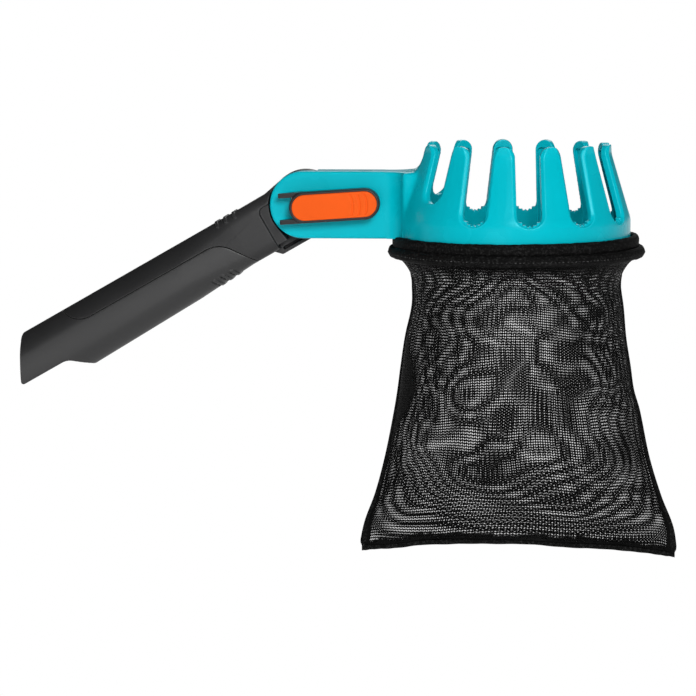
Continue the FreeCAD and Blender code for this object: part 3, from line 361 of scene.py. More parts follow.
def turned_steel(name, colour):
    """Bright zinc on steel, with faint turning lines."""
    material, tree, shader = blank_material(name)
    place = add_node(tree, "ShaderNodeTexCoord", "place").outputs["Object"]
    shader.inputs["Metallic"].default_value = 1.0
    cloud = noise_field(tree, place, "zinc bloom", 220.0, 3.0)
    zinc = blend_colours(tree, cloud, "zinc", scaled(colour, 0.85), scaled(colour, 1.08))
    tree.links.new(zinc, shader.inputs["Base Color"])
    rough = spread(tree, cloud, "roughness", NOISE_LOW, NOISE_HIGH, 0.26, 0.4)
    tree.links.new(rough, shader.inputs["Roughness"])
    lines = noise_field(tree, place, "turning lines", 2600.0, 1.0)
    bump = add_node(tree, "ShaderNodeBump", "lines bump")
    bump.inputs["Strength"].default_value = 0.2
    bump.inputs["Distance"].default_value = 0.02 * MM
    tree.links.new(lines, bump.inputs["Height"])
    tree.links.new(bump.outputs["Normal"], shader.inputs["Normal"])
    return material


HOLE_FUZZ = 0.06
HOLE_HALF_WIDE, HOLE_SIDE_POWER = 0.42, 4.0
HOLE_HALF_HIGH, HOLE_TOP_POWER = 0.33, 2.0
HOLE_EDGE, YARN_EDGE = 0.42, 1.05
SLANT = 0.5
SLACK, TIGHT = 0.86, 1.28
ROW_WANDER_SCALE, ROW_WANDER = 5.0, 1.1
STITCH_DRIFT_SCALE, STITCH_DRIFT = 4.0, 1.2
PULL_SCALE = 5.0
KNIT_STRENGTH = 0.5
CLOTH_BUMP = 0.2 * MM
PALE_THREAD = 9.0


def knitted_net(name, colour, flat_width, flat_height, stitch, row_height):
    """Knitted net: rows of small slanting holes, whose slant turns about at every stitch."""
    material, tree, shader = blank_material(name)
    flat = add_node(tree, "ShaderNodeUVMap", "flat cloth", uv_map="flat").outputs["UV"]
    parts = add_node(tree, "ShaderNodeSeparateXYZ", "across and down")
    tree.links.new(flat, parts.inputs[0])
    wander = noise_field(tree, flat, "wandering rows", ROW_WANDER_SCALE, 0.0)
    wander = spread(tree, wander, "row shift", NOISE_LOW, NOISE_HIGH, -ROW_WANDER, ROW_WANDER)
    drift = noise_field(tree, flat, "drifting stitches", STITCH_DRIFT_SCALE, 0.0)
    drift = spread(tree, drift, "stitch shift", NOISE_LOW, NOISE_HIGH, -STITCH_DRIFT, STITCH_DRIFT)
    column = calculate(tree, "MULTIPLY", "stitches", parts.outputs[0], flat_width / stitch)
    column = calculate(tree, "ADD", "drifted stitches", column, drift)
    row = calculate(tree, "MULTIPLY", "rows", parts.outputs[1], flat_height / row_height)
    row = calculate(tree, "ADD", "wandered rows", row, wander)
    zigzag = calculate(tree, "PINGPONG", "zigzag", column, 1.0)
    row = calculate(tree, "ADD", "zigzag rows", row, calculate(tree, "MULTIPLY", "slant", zigzag, SLANT))
    x = calculate(tree, "SUBTRACT", "x in stitch", calculate(tree, "FRACT", "stitch x", column), 0.5)
    y = calculate(tree, "SUBTRACT", "y in stitch", calculate(tree, "FRACT", "stitch y", row), 0.5)
    wide = calculate(tree, "DIVIDE", "wide", x, HOLE_HALF_WIDE)
    wide = calculate(tree, "POWER", "upright sides", wide, HOLE_SIDE_POWER)
    high = calculate(tree, "DIVIDE", "high", y, HOLE_HALF_HIGH)
    high = calculate(tree, "POWER", "round ends", high, HOLE_TOP_POWER)
    oval = calculate(tree, "ADD", "oval hole", wide, high)
    pull = noise_field(tree, flat, "tight and slack", PULL_SCALE, 1.0)
    pull = spread(tree, pull, "pull", NOISE_LOW, NOISE_HIGH, SLACK, TIGHT)
    pulled = calculate(tree, "MULTIPLY", "pulled hole", oval, pull)
    yarn = spread(tree, pulled, "yarn and its fuzz", HOLE_EDGE, YARN_EDGE, HOLE_FUZZ, 1.0)
    closed = add_node(tree, "ShaderNodeAttribute", "closed edges", attribute_name="closed")
    tree.links.new(calculate(tree, "MAXIMUM", "solid", yarn, closed.outputs["Fac"]), shader.inputs["Alpha"])
    fuzz = noise_field(tree, flat, "fibre", 900.0, 2.0)
    fibre = blend_colours(tree, fuzz, "fibre colour", scaled(colour, 0.6), scaled(colour, 1.7))
    tree.links.new(fibre, shader.inputs["Base Color"])
    shader.inputs["Roughness"].default_value = 0.6
    shader.inputs["Specular IOR Level"].default_value = 0.04
    bump = add_node(tree, "ShaderNodeBump", "knit bump")
    bump.inputs["Strength"].default_value = KNIT_STRENGTH
    bump.inputs["Distance"].default_value = CLOTH_BUMP
    tree.links.new(oval, bump.inputs["Height"])
    tree.links.new(bump.outputs["Normal"], shader.inputs["Normal"])
    return material


def folded_cloth(name, colour, rib_pitch):
    """Doubled cloth of the hem and seams: fine ribs of thread over a soft fuzz."""
    material, tree, shader = blank_material(name)
    place = add_node(tree, "ShaderNodeTexCoord", "place").outputs["Object"]
    fuzz = noise_field(tree, place, "fuzz", 750.0, 3.0, 0.7)
    specks = spread(tree, fuzz, "pale specks", 0.5, 0.75, 0.0, 1.0)
    thread = blend_colours(tree, specks, "thread colour", scaled(colour, 0.8), scaled(colour, PALE_THREAD))
    tree.links.new(thread, shader.inputs["Base Color"])
    weave = add_node(tree, "ShaderNodeTexWave", "ribs", wave_type="BANDS", bands_direction="Z")
    weave.inputs["Scale"].default_value = 1.0 / rib_pitch / 3
    weave.inputs["Distortion"].default_value = 1.5
    tree.links.new(place, weave.inputs["Vector"])
    height = calculate(tree, "ADD", "thread height", fuzz, weave.outputs["Fac"])
    shader.inputs["Roughness"].default_value = 0.75
    shader.inputs["Specular IOR Level"].default_value = 0.06
    bump = add_node(tree, "ShaderNodeBump", "thread bump")
    bump.inputs["Strength"].default_value = KNIT_STRENGTH
    bump.inputs["Distance"].default_value = CLOTH_BUMP
    tree.links.new(height, bump.inputs["Height"])
    tree.links.new(bump.outputs["Normal"], shader.inputs["Normal"])
    return material


# Bag: its outline from the near side, as drop below the pivot and the places of its two edges, in mm


BAG_EDGES = (
    (46.0, 65.4, 190.4),
    (50.0, 66.3, 190.6),
    (62.0, 66.2, 192.4),
    (80.0, 62.4, 194.2),
    (98.0, 59.8, 197.2),
    (112.0, 58.1, 199.3),
    (125.0, 56.2, 203.1),
    (154.0, 50.9, 209.2),
    (178.0, 45.1, 216.6),
    (196.0, 38.9, 223.8),
    (213.0, 35.7, 226.3),
)
BAG_NECK_DROP = 50.0
BAG_FOOT_DROP = 211.0
BAG_HALF_CUT = 196.0
FOOT_HALF_DEPTH = 1.2
FOOT_FLATTENS_OVER = 45.0
DEEPEST_SHARE = 1.2
DEPTH_STEP = 0.01
NET_TOP_RADIUS = 75.5
NET_TOP_DROP = 29.8
NET_TOP_SHIFT = 1.2
RING_OFFSET = 126.7
FOOT_WAVE = (
    (34.0, 211.6), (58.0, 209.9), (77.0, 207.3), (132.0, 206.5),
    (160.0, 208.0), (190.0, 209.0), (206.0, 210.6), (227.0, 213.4),
)


def on_curve(points, place):
    """Value of a smooth curve through given points of place and value."""
    last = len(points) - 1
    index = 0
    while index < last - 1 and place > points[index + 1][0]:
        index += 1
    p1, p2 = points[index], points[index + 1]
    p0 = points[max(index - 1, 0)]
    p3 = points[min(index + 2, last)]
    run = p2[0] - p1[0]
    share = max(0.0, min(1.0, (place - p1[0]) / run))
    rise = (p2[1] - p0[1]) / (p2[0] - p0[0]) * run
    fall = (p3[1] - p1[1]) / (p3[0] - p1[0]) * run
    square, cube = share * share, share * share * share
    return (
        (2 * cube - 3 * square + 1) * p1[1]
        + (cube - 2 * square + share) * rise
        + (3 * square - 2 * cube) * p2[1]
        + (cube - square) * fall
    )


LEFT_EDGE = [(drop, left) for drop, left, right in BAG_EDGES]
RIGHT_EDGE = [(drop, right) for drop, left, right in BAG_EDGES]


def oval_half_round(a, b):
    """Length of half an oval, by the usual close formula."""
    return math.pi * (3 * (a + b) - math.sqrt((3 * a + b) * (a + 3 * b))) / 2


def bag_half_depth(half_width, drop):
    """Half depth that keeps the cloth's own width round the bag, drawn flat at the foot."""
    low, high = 0.0, half_width * DEEPEST_SHARE
    while high - low > DEPTH_STEP:
        middle = (low + high) / 2
        if oval_half_round(half_width, middle) < BAG_HALF_CUT:
            low = middle
        else:
            high = middle
    depth = min(low, half_width)
    flat = max(0.0, min(1.0, (BAG_FOOT_DROP - drop) / FOOT_FLATTENS_OVER))
    return FOOT_HALF_DEPTH + (depth - FOOT_HALF_DEPTH) * math.sin(flat * math.pi / 2) ** 0.9


def bag_level(drop):
    """Centre, half width and half depth of the bag at one drop below the pivot."""
    if drop < BAG_NECK_DROP:
        share = (drop - NET_TOP_DROP) / (BAG_NECK_DROP - NET_TOP_DROP)
        ease = math.sin(max(0.0, min(1.0, share)) * math.pi / 2) ** 0.58
        neck = bag_level(BAG_NECK_DROP)
        centre = RING_OFFSET + NET_TOP_SHIFT * (1 - ease)
        return (
            centre + (neck[0] - centre) * ease,
            NET_TOP_RADIUS + (neck[1] - NET_TOP_RADIUS) * ease,
            NET_TOP_RADIUS + (neck[2] - NET_TOP_RADIUS) * ease,
        )
    left, right = on_curve(LEFT_EDGE, drop), on_curve(RIGHT_EDGE, drop)
    half_width = (right - left) / 2
    return (left + right) / 2, half_width, bag_half_depth(half_width, drop)


GATHER, GATHER_PITCH = 0.55, 46
BROAD_FOLD, LONG_FOLD, RIPPLE = 4.0, 2.6, 0.9
FOOT_SHARE = 0.2
FOLDS_LEVEL_AT = 0.87


def bag_folds(across, down, side):
    """How far the cloth stands out from its smooth form, in mm. Across runs -1 to 1, and down 0 to 1."""
    edge = 1 - abs(across) ** 5
    uneven = 3 * noise.noise((across * 4, down * 3, side))
    gathers = GATHER * math.sin(across * GATHER_PITCH + uneven) * math.exp(-down * 9)
    swing = 1.3 * down
    broad = noise.noise((across * 2.3 + swing * 0.7, down * 1.5, 4.0 + side * 3))
    long_fold = noise.noise((across * 4.2 - swing, down * 0.9 + 2.0, 9.0 + side * 5))
    ripple = noise.noise((across * 9.0 + swing, down * 3.2, 17.0 + side))
    body = math.sin(min(1.0, down * 1.15) * math.pi) ** 0.6 if down < FOLDS_LEVEL_AT else 0.9
    foot = max(0.0, (down - 0.8) / FOOT_SHARE)
    folds = (BROAD_FOLD * broad + LONG_FOLD * long_fold) * body
    return edge * (gathers + folds + RIPPLE * ripple * (0.4 + down) * (1 - foot))


TOP_DROP = 30.0
LENS_FROM, LENS_GAIN = 0.3, 0.55
FOLD_ROOM = 14.0
SIDEWAYS_FOLD = 0.6
FOOT_WAVE_FROM = 0.55


def bag_point(across, down, side):
    """A place on a panel. Side is -1 for the near panel and 1 for the far one."""
    drop = TOP_DROP + (BAG_FOOT_DROP - TOP_DROP) * down
    centre, half_width, half_depth = bag_level(drop)
    turn = across * math.pi / 2
    lens = 1.0 + LENS_GAIN * max(0.0, down - LENS_FROM)
    x = centre + half_width * math.sin(turn)
    y = side * half_depth * math.cos(turn) ** lens
    outward = Vector((math.sin(turn) * half_depth, side * math.cos(turn) * half_width)).normalized()
    stand = bag_folds(across, down, side)
    room = min(1.0, half_depth / FOLD_ROOM)
    x += outward.x * stand * room * SIDEWAYS_FOLD
    y += outward.y * stand * room
    low = (on_curve(FOOT_WAVE, x) - BAG_FOOT_DROP) * max(0.0, (down - FOOT_WAVE_FROM) / 0.45) ** 2
    return PIVOT + mm(x, y, -drop - low)


BAG_COLUMNS = 150
BAG_ROWS = 140
SEAM_ALLOWANCE = 3.2
CORNER_ALLOWANCE = 14.0
FOOT_ALLOWANCE = 3.0
TOP_ALLOWANCE = 6.0
TOP_FADE = 6.0
FRAY = 1.6
TURNED_IN_WIDTH = 30.0
TURNED_IN_AT = 0.43
TURNED_IN_SPAN = 0.15


def doubled_cloth(across, down, side):
    """How closed the net is, from 0 to 1, where its edges are folded double inside the seams."""
    from_side = (1 - abs(across)) * BAG_HALF_CUT / 2
    from_foot = (1 - down) * (BAG_FOOT_DROP - TOP_DROP)
    from_top = down * (BAG_FOOT_DROP - TOP_DROP)
    ragged = noise.noise((across * 40, down * 5, side * 3.0))
    ragged += noise.noise((across * 9, down * 20, side * 7.0))
    side_width = SEAM_ALLOWANCE + CORNER_ALLOWANCE * down ** 3 + ragged * 0.6
    turned_in = 0.0
    if across < 0 and side < 0:
        turned_in = math.exp(-(((down - TURNED_IN_AT) / TURNED_IN_SPAN) ** 2))
        side_width += TURNED_IN_WIDTH * turned_in + ragged * 3 * turned_in
    foot_width = FOOT_ALLOWANCE + ragged * 2.2
    side_gap = (from_side - side_width) / (1 + 4 * turned_in)
    gaps = (side_gap, from_foot - foot_width, (from_top - TOP_ALLOWANCE) / TOP_FADE)
    return max(0.0, min(1.0, 0.5 - min(gaps) / FRAY))


def bag_panel(name, side, material):
    """One panel of net, from the roll below the ring to the foot seam."""
    bpy.ops.mesh.primitive_grid_add(
        x_subdivisions=BAG_COLUMNS, y_subdivisions=BAG_ROWS, size=2.0, calc_uvs=True
    )
    panel = bpy.context.object
    panel.name = name
    panel.data.uv_layers[0].name = "flat"
    closed = panel.data.attributes.new("closed", "FLOAT", "POINT")
    for vertex in panel.data.vertices:
        across, down = vertex.co.x, (1 - vertex.co.y) / 2
        closed.data[vertex.index].value = doubled_cloth(across, down, side)
        vertex.co = bag_point(across, down, side)
    make_active(panel)
    bpy.ops.object.mode_set(mode="EDIT")
    bpy.ops.mesh.select_all(action="SELECT")
    if side > 0:
        bpy.ops.mesh.flip_normals()
    bpy.ops.object.mode_set(mode="OBJECT")
    add_modifier(panel, "SOLIDIFY", thickness=sizes().net_thickness, offset=-1.0)
    make_active(panel)
    bpy.ops.object.shade_smooth()
    return panel


RING_SEGMENTS = 220
RING_AROUND = 24
TORUS_RADIUS = 2.0


def ring_of(name, place):
    """A closed ring whose section is set by a function of the turn round the ring and round the section."""
    bpy.ops.mesh.primitive_torus_add(
        major_segments=RING_SEGMENTS, minor_segments=RING_AROUND, major_radius=TORUS_RADIUS, minor_radius=0.5
    )
    piece = bpy.context.object
    piece.name = name
    for vertex in piece.data.vertices:
        flat = Vector((vertex.co.x, vertex.co.y))
        turn = math.atan2(vertex.co.y, vertex.co.x)
        section = math.atan2(vertex.co.z, flat.length - TORUS_RADIUS)
        vertex.co = place(turn, section)
    make_active(piece)
    bpy.ops.object.shade_smooth()
    return piece


HEM_MIDDLE_RADIUS = 71.8
HEM_HALF_WIDE = 2.5
HEM_HALF_HIGH = 3.7
HEM_DROP = 21.6
HEM_SHIFT = 0.9
HEM_SQUARENESS = 0.8
HEM_INNER_REACH = -1.4
HEM_WRINKLE, ROLL_WRINKLE = 0.3, 0.35
ROLL_MIDDLE_RADIUS = 74.4
ROLL_HALF_WIDE = 3.0
ROLL_HALF_HIGH = 3.4
ROLL_MIDDLE_DROP = 27.7
ROLL_SHIFT = 1.4
STITCHES = 190
STITCH_LENGTH = 1.5
STITCH_HALF_THICK = 0.22
STITCH_SLANT = 0.12
STITCH_ROW_TURN = -0.12


def hem_tilt(turn):
    """The hem rides up a little on the outer side."""
    around = (math.cos(turn) * 3, math.sin(turn) * 3, 1.0)
    return 0.7 * math.cos(turn) + 0.35 * noise.noise(around)


def hem_place(turn, section):
    """A place on the hem, which is rounded square in section and rests on the ring inside."""
    wrinkle = HEM_WRINKLE * noise.noise((math.cos(turn) * 26, math.sin(turn) * 26, math.sin(section) * 1.5))
    wide = HEM_HALF_WIDE + wrinkle
    high = HEM_HALF_HIGH + wrinkle
    across = math.copysign(abs(math.cos(section)) ** HEM_SQUARENESS, math.cos(section)) * wide
    up = math.copysign(abs(math.sin(section)) ** HEM_SQUARENESS, math.sin(section)) * high
    middle = RING_CENTRE + mm(0, 0, -HEM_DROP + hem_tilt(turn))
    radius = HEM_MIDDLE_RADIUS + HEM_SHIFT * math.cos(turn) + max(across, HEM_INNER_REACH)
    return middle + mm(radius * math.cos(turn), radius * math.sin(turn), up)


def roll_place(turn, section):
    """A place on the roll of cloth under the hem."""
    around = (math.cos(turn) * 17 + 5, math.sin(turn) * 17, math.sin(section) * 1.2)
    wrinkle = ROLL_WRINKLE * noise.noise(around)
    across = math.cos(section) * (ROLL_HALF_WIDE + wrinkle)
    up = math.sin(section) * (ROLL_HALF_HIGH + wrinkle)
    radius = ROLL_MIDDLE_RADIUS + across + 0.4 * noise.noise((math.cos(turn) * 2, math.sin(turn) * 2, 7.0))
    middle = RING_CENTRE + mm(ROLL_SHIFT, 0, -ROLL_MIDDLE_DROP + hem_tilt(turn) * 0.6)
    return middle + mm(radius * math.cos(turn), radius * math.sin(turn), up)


def stitch_line(name):
    """A row of short slanting stitches round the roll."""
    stitches = []
    for number in range(STITCHES):
        turn = 2 * math.pi * number / STITCHES
        bpy.ops.mesh.primitive_uv_sphere_add(segments=8, ring_count=5, radius=1.0)
        stitch = bpy.context.object
        middle = roll_place(turn, STITCH_ROW_TURN)
        outward = Vector((math.cos(turn), math.sin(turn), 0))
        along = Vector((-math.sin(turn), math.cos(turn), STITCH_SLANT * (-1) ** number)).normalized()
        up = outward.cross(along)
        for vertex in stitch.data.vertices:
            bulge = vertex.co.y * STITCH_HALF_THICK
            run = vertex.co.x * STITCH_LENGTH / 2
            rise = vertex.co.z * STITCH_HALF_THICK
            vertex.co = middle + (outward * bulge + along * run + up * rise) * MM
        stitches.append(stitch)
    deselect_all()
    for stitch in stitches:
        stitch.select_set(True)
    bpy.context.view_layer.objects.active = stitches[0]
    bpy.ops.object.join()
    row = bpy.context.object
    row.name = name
    bpy.ops.object.shade_smooth()
    return row


SEAM_AROUND = 16
SIDE_SEAM_STEPS = 90
FOOT_SEAM_STEPS = 140
SEAM_START = 0.06
SEAM_HALF_THICK = 0.85
FOOT_SEAM_HALF_THICK, FOOT_SEAM_HALF_HIGH = 1.0, 1.6
FOOT_SEAM_LOW = 1.5
FOOT_PLEAT = 0.09


def strip_along(name, steps, place):
    """A closed strip: rows along it, and points round each row, given by a function of share and turn."""
    bpy.ops.mesh.primitive_cylinder_add(vertices=SEAM_AROUND, radius=1.0, depth=2.0, end_fill_type="NGON")
    piece = bpy.context.object
    piece.name = name
    make_active(piece)
    bpy.ops.object.mode_set(mode="EDIT")
    bpy.ops.mesh.select_mode(type="EDGE")
    bpy.ops.mesh.select_all(action="DESELECT")
    bpy.ops.object.mode_set(mode="OBJECT")
    for edge in piece.data.edges:
        low, high = (piece.data.vertices[index].co.z for index in edge.vertices)
        edge.select = abs(low - high) > 1
    bpy.ops.object.mode_set(mode="EDIT")
    bpy.ops.mesh.subdivide(number_cuts=steps)
    bpy.ops.object.mode_set(mode="OBJECT")
    for vertex in piece.data.vertices:
        share = (1 - vertex.co.z) / 2
        turn = math.atan2(vertex.co.y, vertex.co.x)
        vertex.co = place(share, turn)
    make_active(piece)
    bpy.ops.object.shade_smooth()
    return piece


def side_seam_place(side):
    """Folded edge of the two panels down one side of the bag, drawn in where it starts and ends."""

    def place(share, turn):
        edge = bag_point(side, SEAM_START + (1 - SEAM_START) * share, -1)
        edge.y = 0
        taper = math.sqrt(max(0.0, min(1.0, share / 0.05, (1.004 - share) / 0.02)))
        width = (1.0 + 1.3 * share ** 3) * taper
        wave = 0.45 * math.sin(share * 23 + side) * (1 - share) * taper
        out = side * (math.cos(turn) * width + width * 0.2)
        return edge + mm(out, math.sin(turn) * SEAM_HALF_THICK * taper + wave, 0)

    return place


def foot_seam_place(share, turn):
    """Gathered edge across the foot, with the fine pleats of its overcast thread."""
    across = -1 + 2 * share
    edge = bag_point(across * 0.999, 1.0, -1)
    edge.y = 0
    taper = math.sqrt(max(0.0, min(1.0, share / 0.008, (1 - share) / 0.008)))
    pleat = FOOT_PLEAT * math.sin(across * 260) * (1 + noise.noise((across * 30, 0.0, 2.0)))
    ripple = 0.7 * math.sin(across * 9 + 1) + 0.4 * math.sin(across * 23)
    thick = math.sin(turn) * (FOOT_SEAM_HALF_THICK + pleat) * taper
    high = math.cos(turn) * (FOOT_SEAM_HALF_HIGH + pleat) * taper
    return edge + mm(across * 1.2, thick + ripple, high - FOOT_SEAM_LOW)


# Ring and arm


CORNER_START = 48.0
CORNER_END = 76.0
CORNER_SOFT = 6.0
CORNER_HALF_WIDE = 9.0
CORNER_HALF_HIGH = 16.0
CORNER_ROUNDS = 160


def round_corner(ring):
    """Rounds the corners where the arm runs out into the ring."""
    corner = ring.vertex_groups.new(name="corner")
    for vertex in ring.data.vertices:
        place = (vertex.co - PIVOT) / MM
        reach = min(place.x - CORNER_START, CORNER_END - place.x) / CORNER_SOFT
        low = (place.z + CORNER_HALF_HIGH) / CORNER_SOFT
        side = (abs(place.y) - CORNER_HALF_WIDE) / CORNER_SOFT
        top = (place.z - CORNER_HALF_HIGH) / CORNER_SOFT
        share = max(0.0, min(1.0, reach, max(side, top), low))
        if share > 0:
            corner.add([vertex.index], share, "REPLACE")
    add_modifier(ring, "SMOOTH", factor=SMOOTH_SHARE, iterations=CORNER_ROUNDS, vertex_group="corner")
    ring.vertex_groups.clear()


TEAL_GLOSS_TINT = (0.35, 0.95, 1.0, 1.0)


class COLLECTOR_OT_ring_and_arm(bpy.types.Operator):
    """Make the moulded ring of fingers with its arm"""

    bl_idname = "collector.ring_and_arm"
    bl_label = "Ring and arm"

    def execute(self, context):
        teal = moulded_plastic("teal_plastic", colours().teal, 0.26, 0.18, 1500.0, 0.015 * MM, 1.45)
        shader = teal.node_tree.nodes["Principled BSDF"]
        shader.inputs["Specular Tint"].default_value = TEAL_GLOSS_TINT
        ring = merged_copy("crown_and_arm", "ring_and_arm")
        soften(ring, sizes().ring_voxel, 3)
        round_corner(ring)
        lighten(ring)
        finish_piece(ring, teal, "head", "teal_plastic", "crown_and_arm")
        return {"FINISHED"}


# Handle


HANDLE_ALONG = -Vector(frame["record"]["mounts"][0]["axis"]).normalized()
HANDLE_UP = Vector((-HANDLE_ALONG.z, 0.0, HANDLE_ALONG.x))
HANDLE_MIDDLE_UP = -1.6
HANDLE_HALF_HIGH = 18.5
HANDLE_CROWN = 0.2
HANDLE_BORE_REACH = 15.2
HANDLE_RIB_SQUASH = 0.45
HANDLE_NECK = 30.0
HANDLE_NECK_FADE = 25.0
# Painted shade on the joint moulding: darkest from the first distance left of the pivot along X, gone by the
# second, in mm, with its share of black at the darkest.
UPPER_SHADE_FROM, UPPER_SHADE_TO = 75.0, 38.0
UPPER_PAINTED_SHADE = 0.3


def crown_sides(piece):
    """Curves the flat sides of the handle from top to bottom, and lowers the ribs on its top."""
    for vertex in piece.data.vertices:
        place = (vertex.co - PIVOT) / MM
        along, up = place.dot(HANDLE_ALONG), place.dot(HANDLE_UP)
        if math.hypot(place.y, up) < HANDLE_BORE_REACH:
            continue
        level = max(-1.0, min(1.0, (up - HANDLE_MIDDLE_UP) / HANDLE_HALF_HIGH))
        from_neck = max(0.0, min(1.0, (-along - HANDLE_NECK) / HANDLE_NECK_FADE))
        vertex.co.y *= 1 - HANDLE_CROWN * level * level * from_neck
        above = up - HANDLE_MIDDLE_UP - HANDLE_HALF_HIGH
        if above > 0 and along < -HANDLE_NECK:
            vertex.co -= HANDLE_UP * above * HANDLE_RIB_SQUASH * MM


class COLLECTOR_OT_handle(bpy.types.Operator):
    """Make the two handle mouldings, the pole sleeve and the rear cap"""

    bl_idname = "collector.handle"
    bl_label = "Handle"

    def execute(self, context):
        grey, fine = colours().charcoal, 0.03 * MM
        charcoal = moulded_plastic("charcoal_plastic", grey, 0.42, 0.43, 1100.0, fine, 1.6)
        # The joint moulding gets its own lighter copy of the charcoal, painted darker away from the joint: painted
        # light and shade for how light falls along it.
        upper = moulded_plastic("charcoal_upper_with_painted_shade", scaled(grey, 1.35), 0.48, 0.2, 1100.0, fine, 1.5)
        shade_from, shade_to = PIVOT.x - UPPER_SHADE_FROM * MM, PIVOT.x - UPPER_SHADE_TO * MM
        paint_shade_along(upper, shade_from, shade_to, UPPER_PAINTED_SHADE)
        black = moulded_plastic("black_handle_plastic", colours().black, 0.5, 0.2, 1300.0, fine, 1.3)
        for node, material, slot in (
            ("joint_moulding", upper, "charcoal_plastic"),
            ("grip_moulding", charcoal, "charcoal_plastic"),
            ("pole_sleeve", black, "black_plastic"),
            ("rear_cap", black, "black_plastic"),
        ):
            piece = merged_copy(node, node + "_skin")
            soften(piece, sizes().handle_voxel, 2)
            if material is not black:
                crown_sides(piece)
            lighten(piece)
            finish_piece(piece, material, "handle", slot, node)
        return {"FINISHED"}


# Clamp


class COLLECTOR_OT_clamp(bpy.types.Operator):
    """Make the clamp lever and finish the clamp's small parts"""

    bl_idname = "collector.clamp"
    bl_label = "Clamp"

    def execute(self, context):
        black = moulded_plastic("black_lever_plastic", colours().black, 0.4, 0.22, 1500.0, 0.02 * MM, 2.2)
        orange = moulded_plastic("orange_plastic", colours().orange, 0.5, 0.05, 1500.0, 0.02 * MM, 1.15)
        steel = turned_steel("zinc_steel", colours().steel)
        acetal = moulded_plastic("acetal", colours().acetal, 0.4, 0.3, 1500.0, 0.01 * MM, 1.05)
        dark = scaled(colours().black, 0.9)
        rubber = moulded_plastic("rubber_disc", dark, 0.8, 0.2, 1500.0, 0.05 * MM, 1.1)
        for node, material, slot in (
            ("lever_frame", black, "black_plastic"),
            ("lever_inlay", orange, "orange_plastic"),
        ):
            piece = merged_copy(node, node + "_skin")
            soften(piece, sizes().lever_voxel, 2)
            lighten(piece)
            finish_piece(piece, material, "lever", slot, node)
        for node, material in (
            ("clamp_bolt", steel),
            ("lever_pin", steel),
            ("thrust_washer", steel),
            ("disc_springs", steel),
            ("lock_nut", steel),
            ("cam_saddle", acetal),
            ("pivot_bush", acetal),
            ("friction_ring", rubber),
        ):
            carried = frame["nodes"][node]
            carried.data.materials.clear()
            carried.data.materials.append(material)
        return {"FINISHED"}


# Net bag and its edges


class COLLECTOR_OT_net_bag(bpy.types.Operator):
    """Make the two net panels of the bag"""

    bl_idname = "collector.net_bag"
    bl_label = "Net bag"

    def execute(self, context):
        deselect_all()
        flat_width, flat_height = BAG_HALF_CUT * MM, (BAG_FOOT_DROP - TOP_DROP) * MM
        net = knitted_net(
            "net_cloth", colours().yarn, flat_width, flat_height, sizes().net_stitch, sizes().net_row
        )
        for name, side, node in (("net_front", -1, "bag_front_panel"), ("net_back", 1, "bag_back_panel")):
            panel = bag_panel(name, side, net)
            finish_piece(panel, net, "head", "net_cloth", node)
        return {"FINISHED"}


class COLLECTOR_OT_bag_edges(bpy.types.Operator):
    """Make the bag's hem, its roll and its seams"""

    bl_idname = "collector.bag_edges"
    bl_label = "Bag edges"

    def execute(self, context):
        deselect_all()
        hem_cloth = folded_cloth("hem_cloth", colours().yarn, 0.9 * MM)
        tape = folded_cloth("seam_tape", colours().yarn, 0.7 * MM)
        hem = ring_of("bag_hem_fold", hem_place)
        finish_piece(hem, hem_cloth, "head", "net_cloth", "bag_hem", "hem_cord")
        roll = ring_of("bag_roll", roll_place)
        finish_piece(roll, hem_cloth, "head", "net_cloth")
        thread = folded_cloth("stitch_thread", scaled(colours().yarn, PALE_THREAD), 0.3 * MM)
        finish_piece(stitch_line("roll_stitches"), thread, "head", "seam_tape")
        for name, side, node in (
            ("side_seam_inner", -1, "bag_side_seam_inner"),
            ("side_seam_outer", 1, "bag_side_seam_outer"),
        ):
            seam = strip_along(name, SIDE_SEAM_STEPS, side_seam_place(side))
            finish_piece(seam, tape, "head", "seam_tape", node)
        foot = strip_along("foot_seam", FOOT_SEAM_STEPS, foot_seam_place)
        finish_piece(foot, tape, "head", "seam_tape", "bag_foot_seam")
        return {"FINISHED"}


# Stage


AIM = PIVOT + mm(26.29, 0.0, -88.31)
SENSOR_WIDTH = 36.0
CAMERA_ELEVATION = math.radians(7.8)
CAMERA_AZIMUTH = math.radians(3.58)
FLOOR_DROP = 0.30
FLOOR_SIZE = 60.0
WHITE_FROM, WHITE_TO, WHITE_SHARE = 0.25, 0.62, 0.6
ROOM_LIGHT = 0.24
CEILING_GLOSS = 0.2
FRONT_GLOSS = 0.15
BACK_GLOSS = 0.1
CEILING_HEIGHT = 0.6
ROOM_FRONT, ROOM_BACK = -0.3, 0.6
LIGHTS = (
    ("key_light", (0.36, -1.55, 0.60), 21.0, 0.45),
    ("low_light", (-0.35, -1.5, -0.22), 2.5, 0.6),
    ("back_light", (0.2, 1.4, 1.0), 8.0, 1.0),
)


def soft_light(name, place, power, width):
    """A square lamp in a place from the aim point, turned towards it, with its power in watts."""
    bpy.ops.object.light_add(type="AREA", location=AIM + Vector(place))
    light = bpy.context.object
    light.name = name
    light.data.energy = power
    light.data.size = width
    light.rotation_mode = "QUATERNION"
    light.rotation_quaternion = (-Vector(place)).to_track_quat("-Z", "Y")


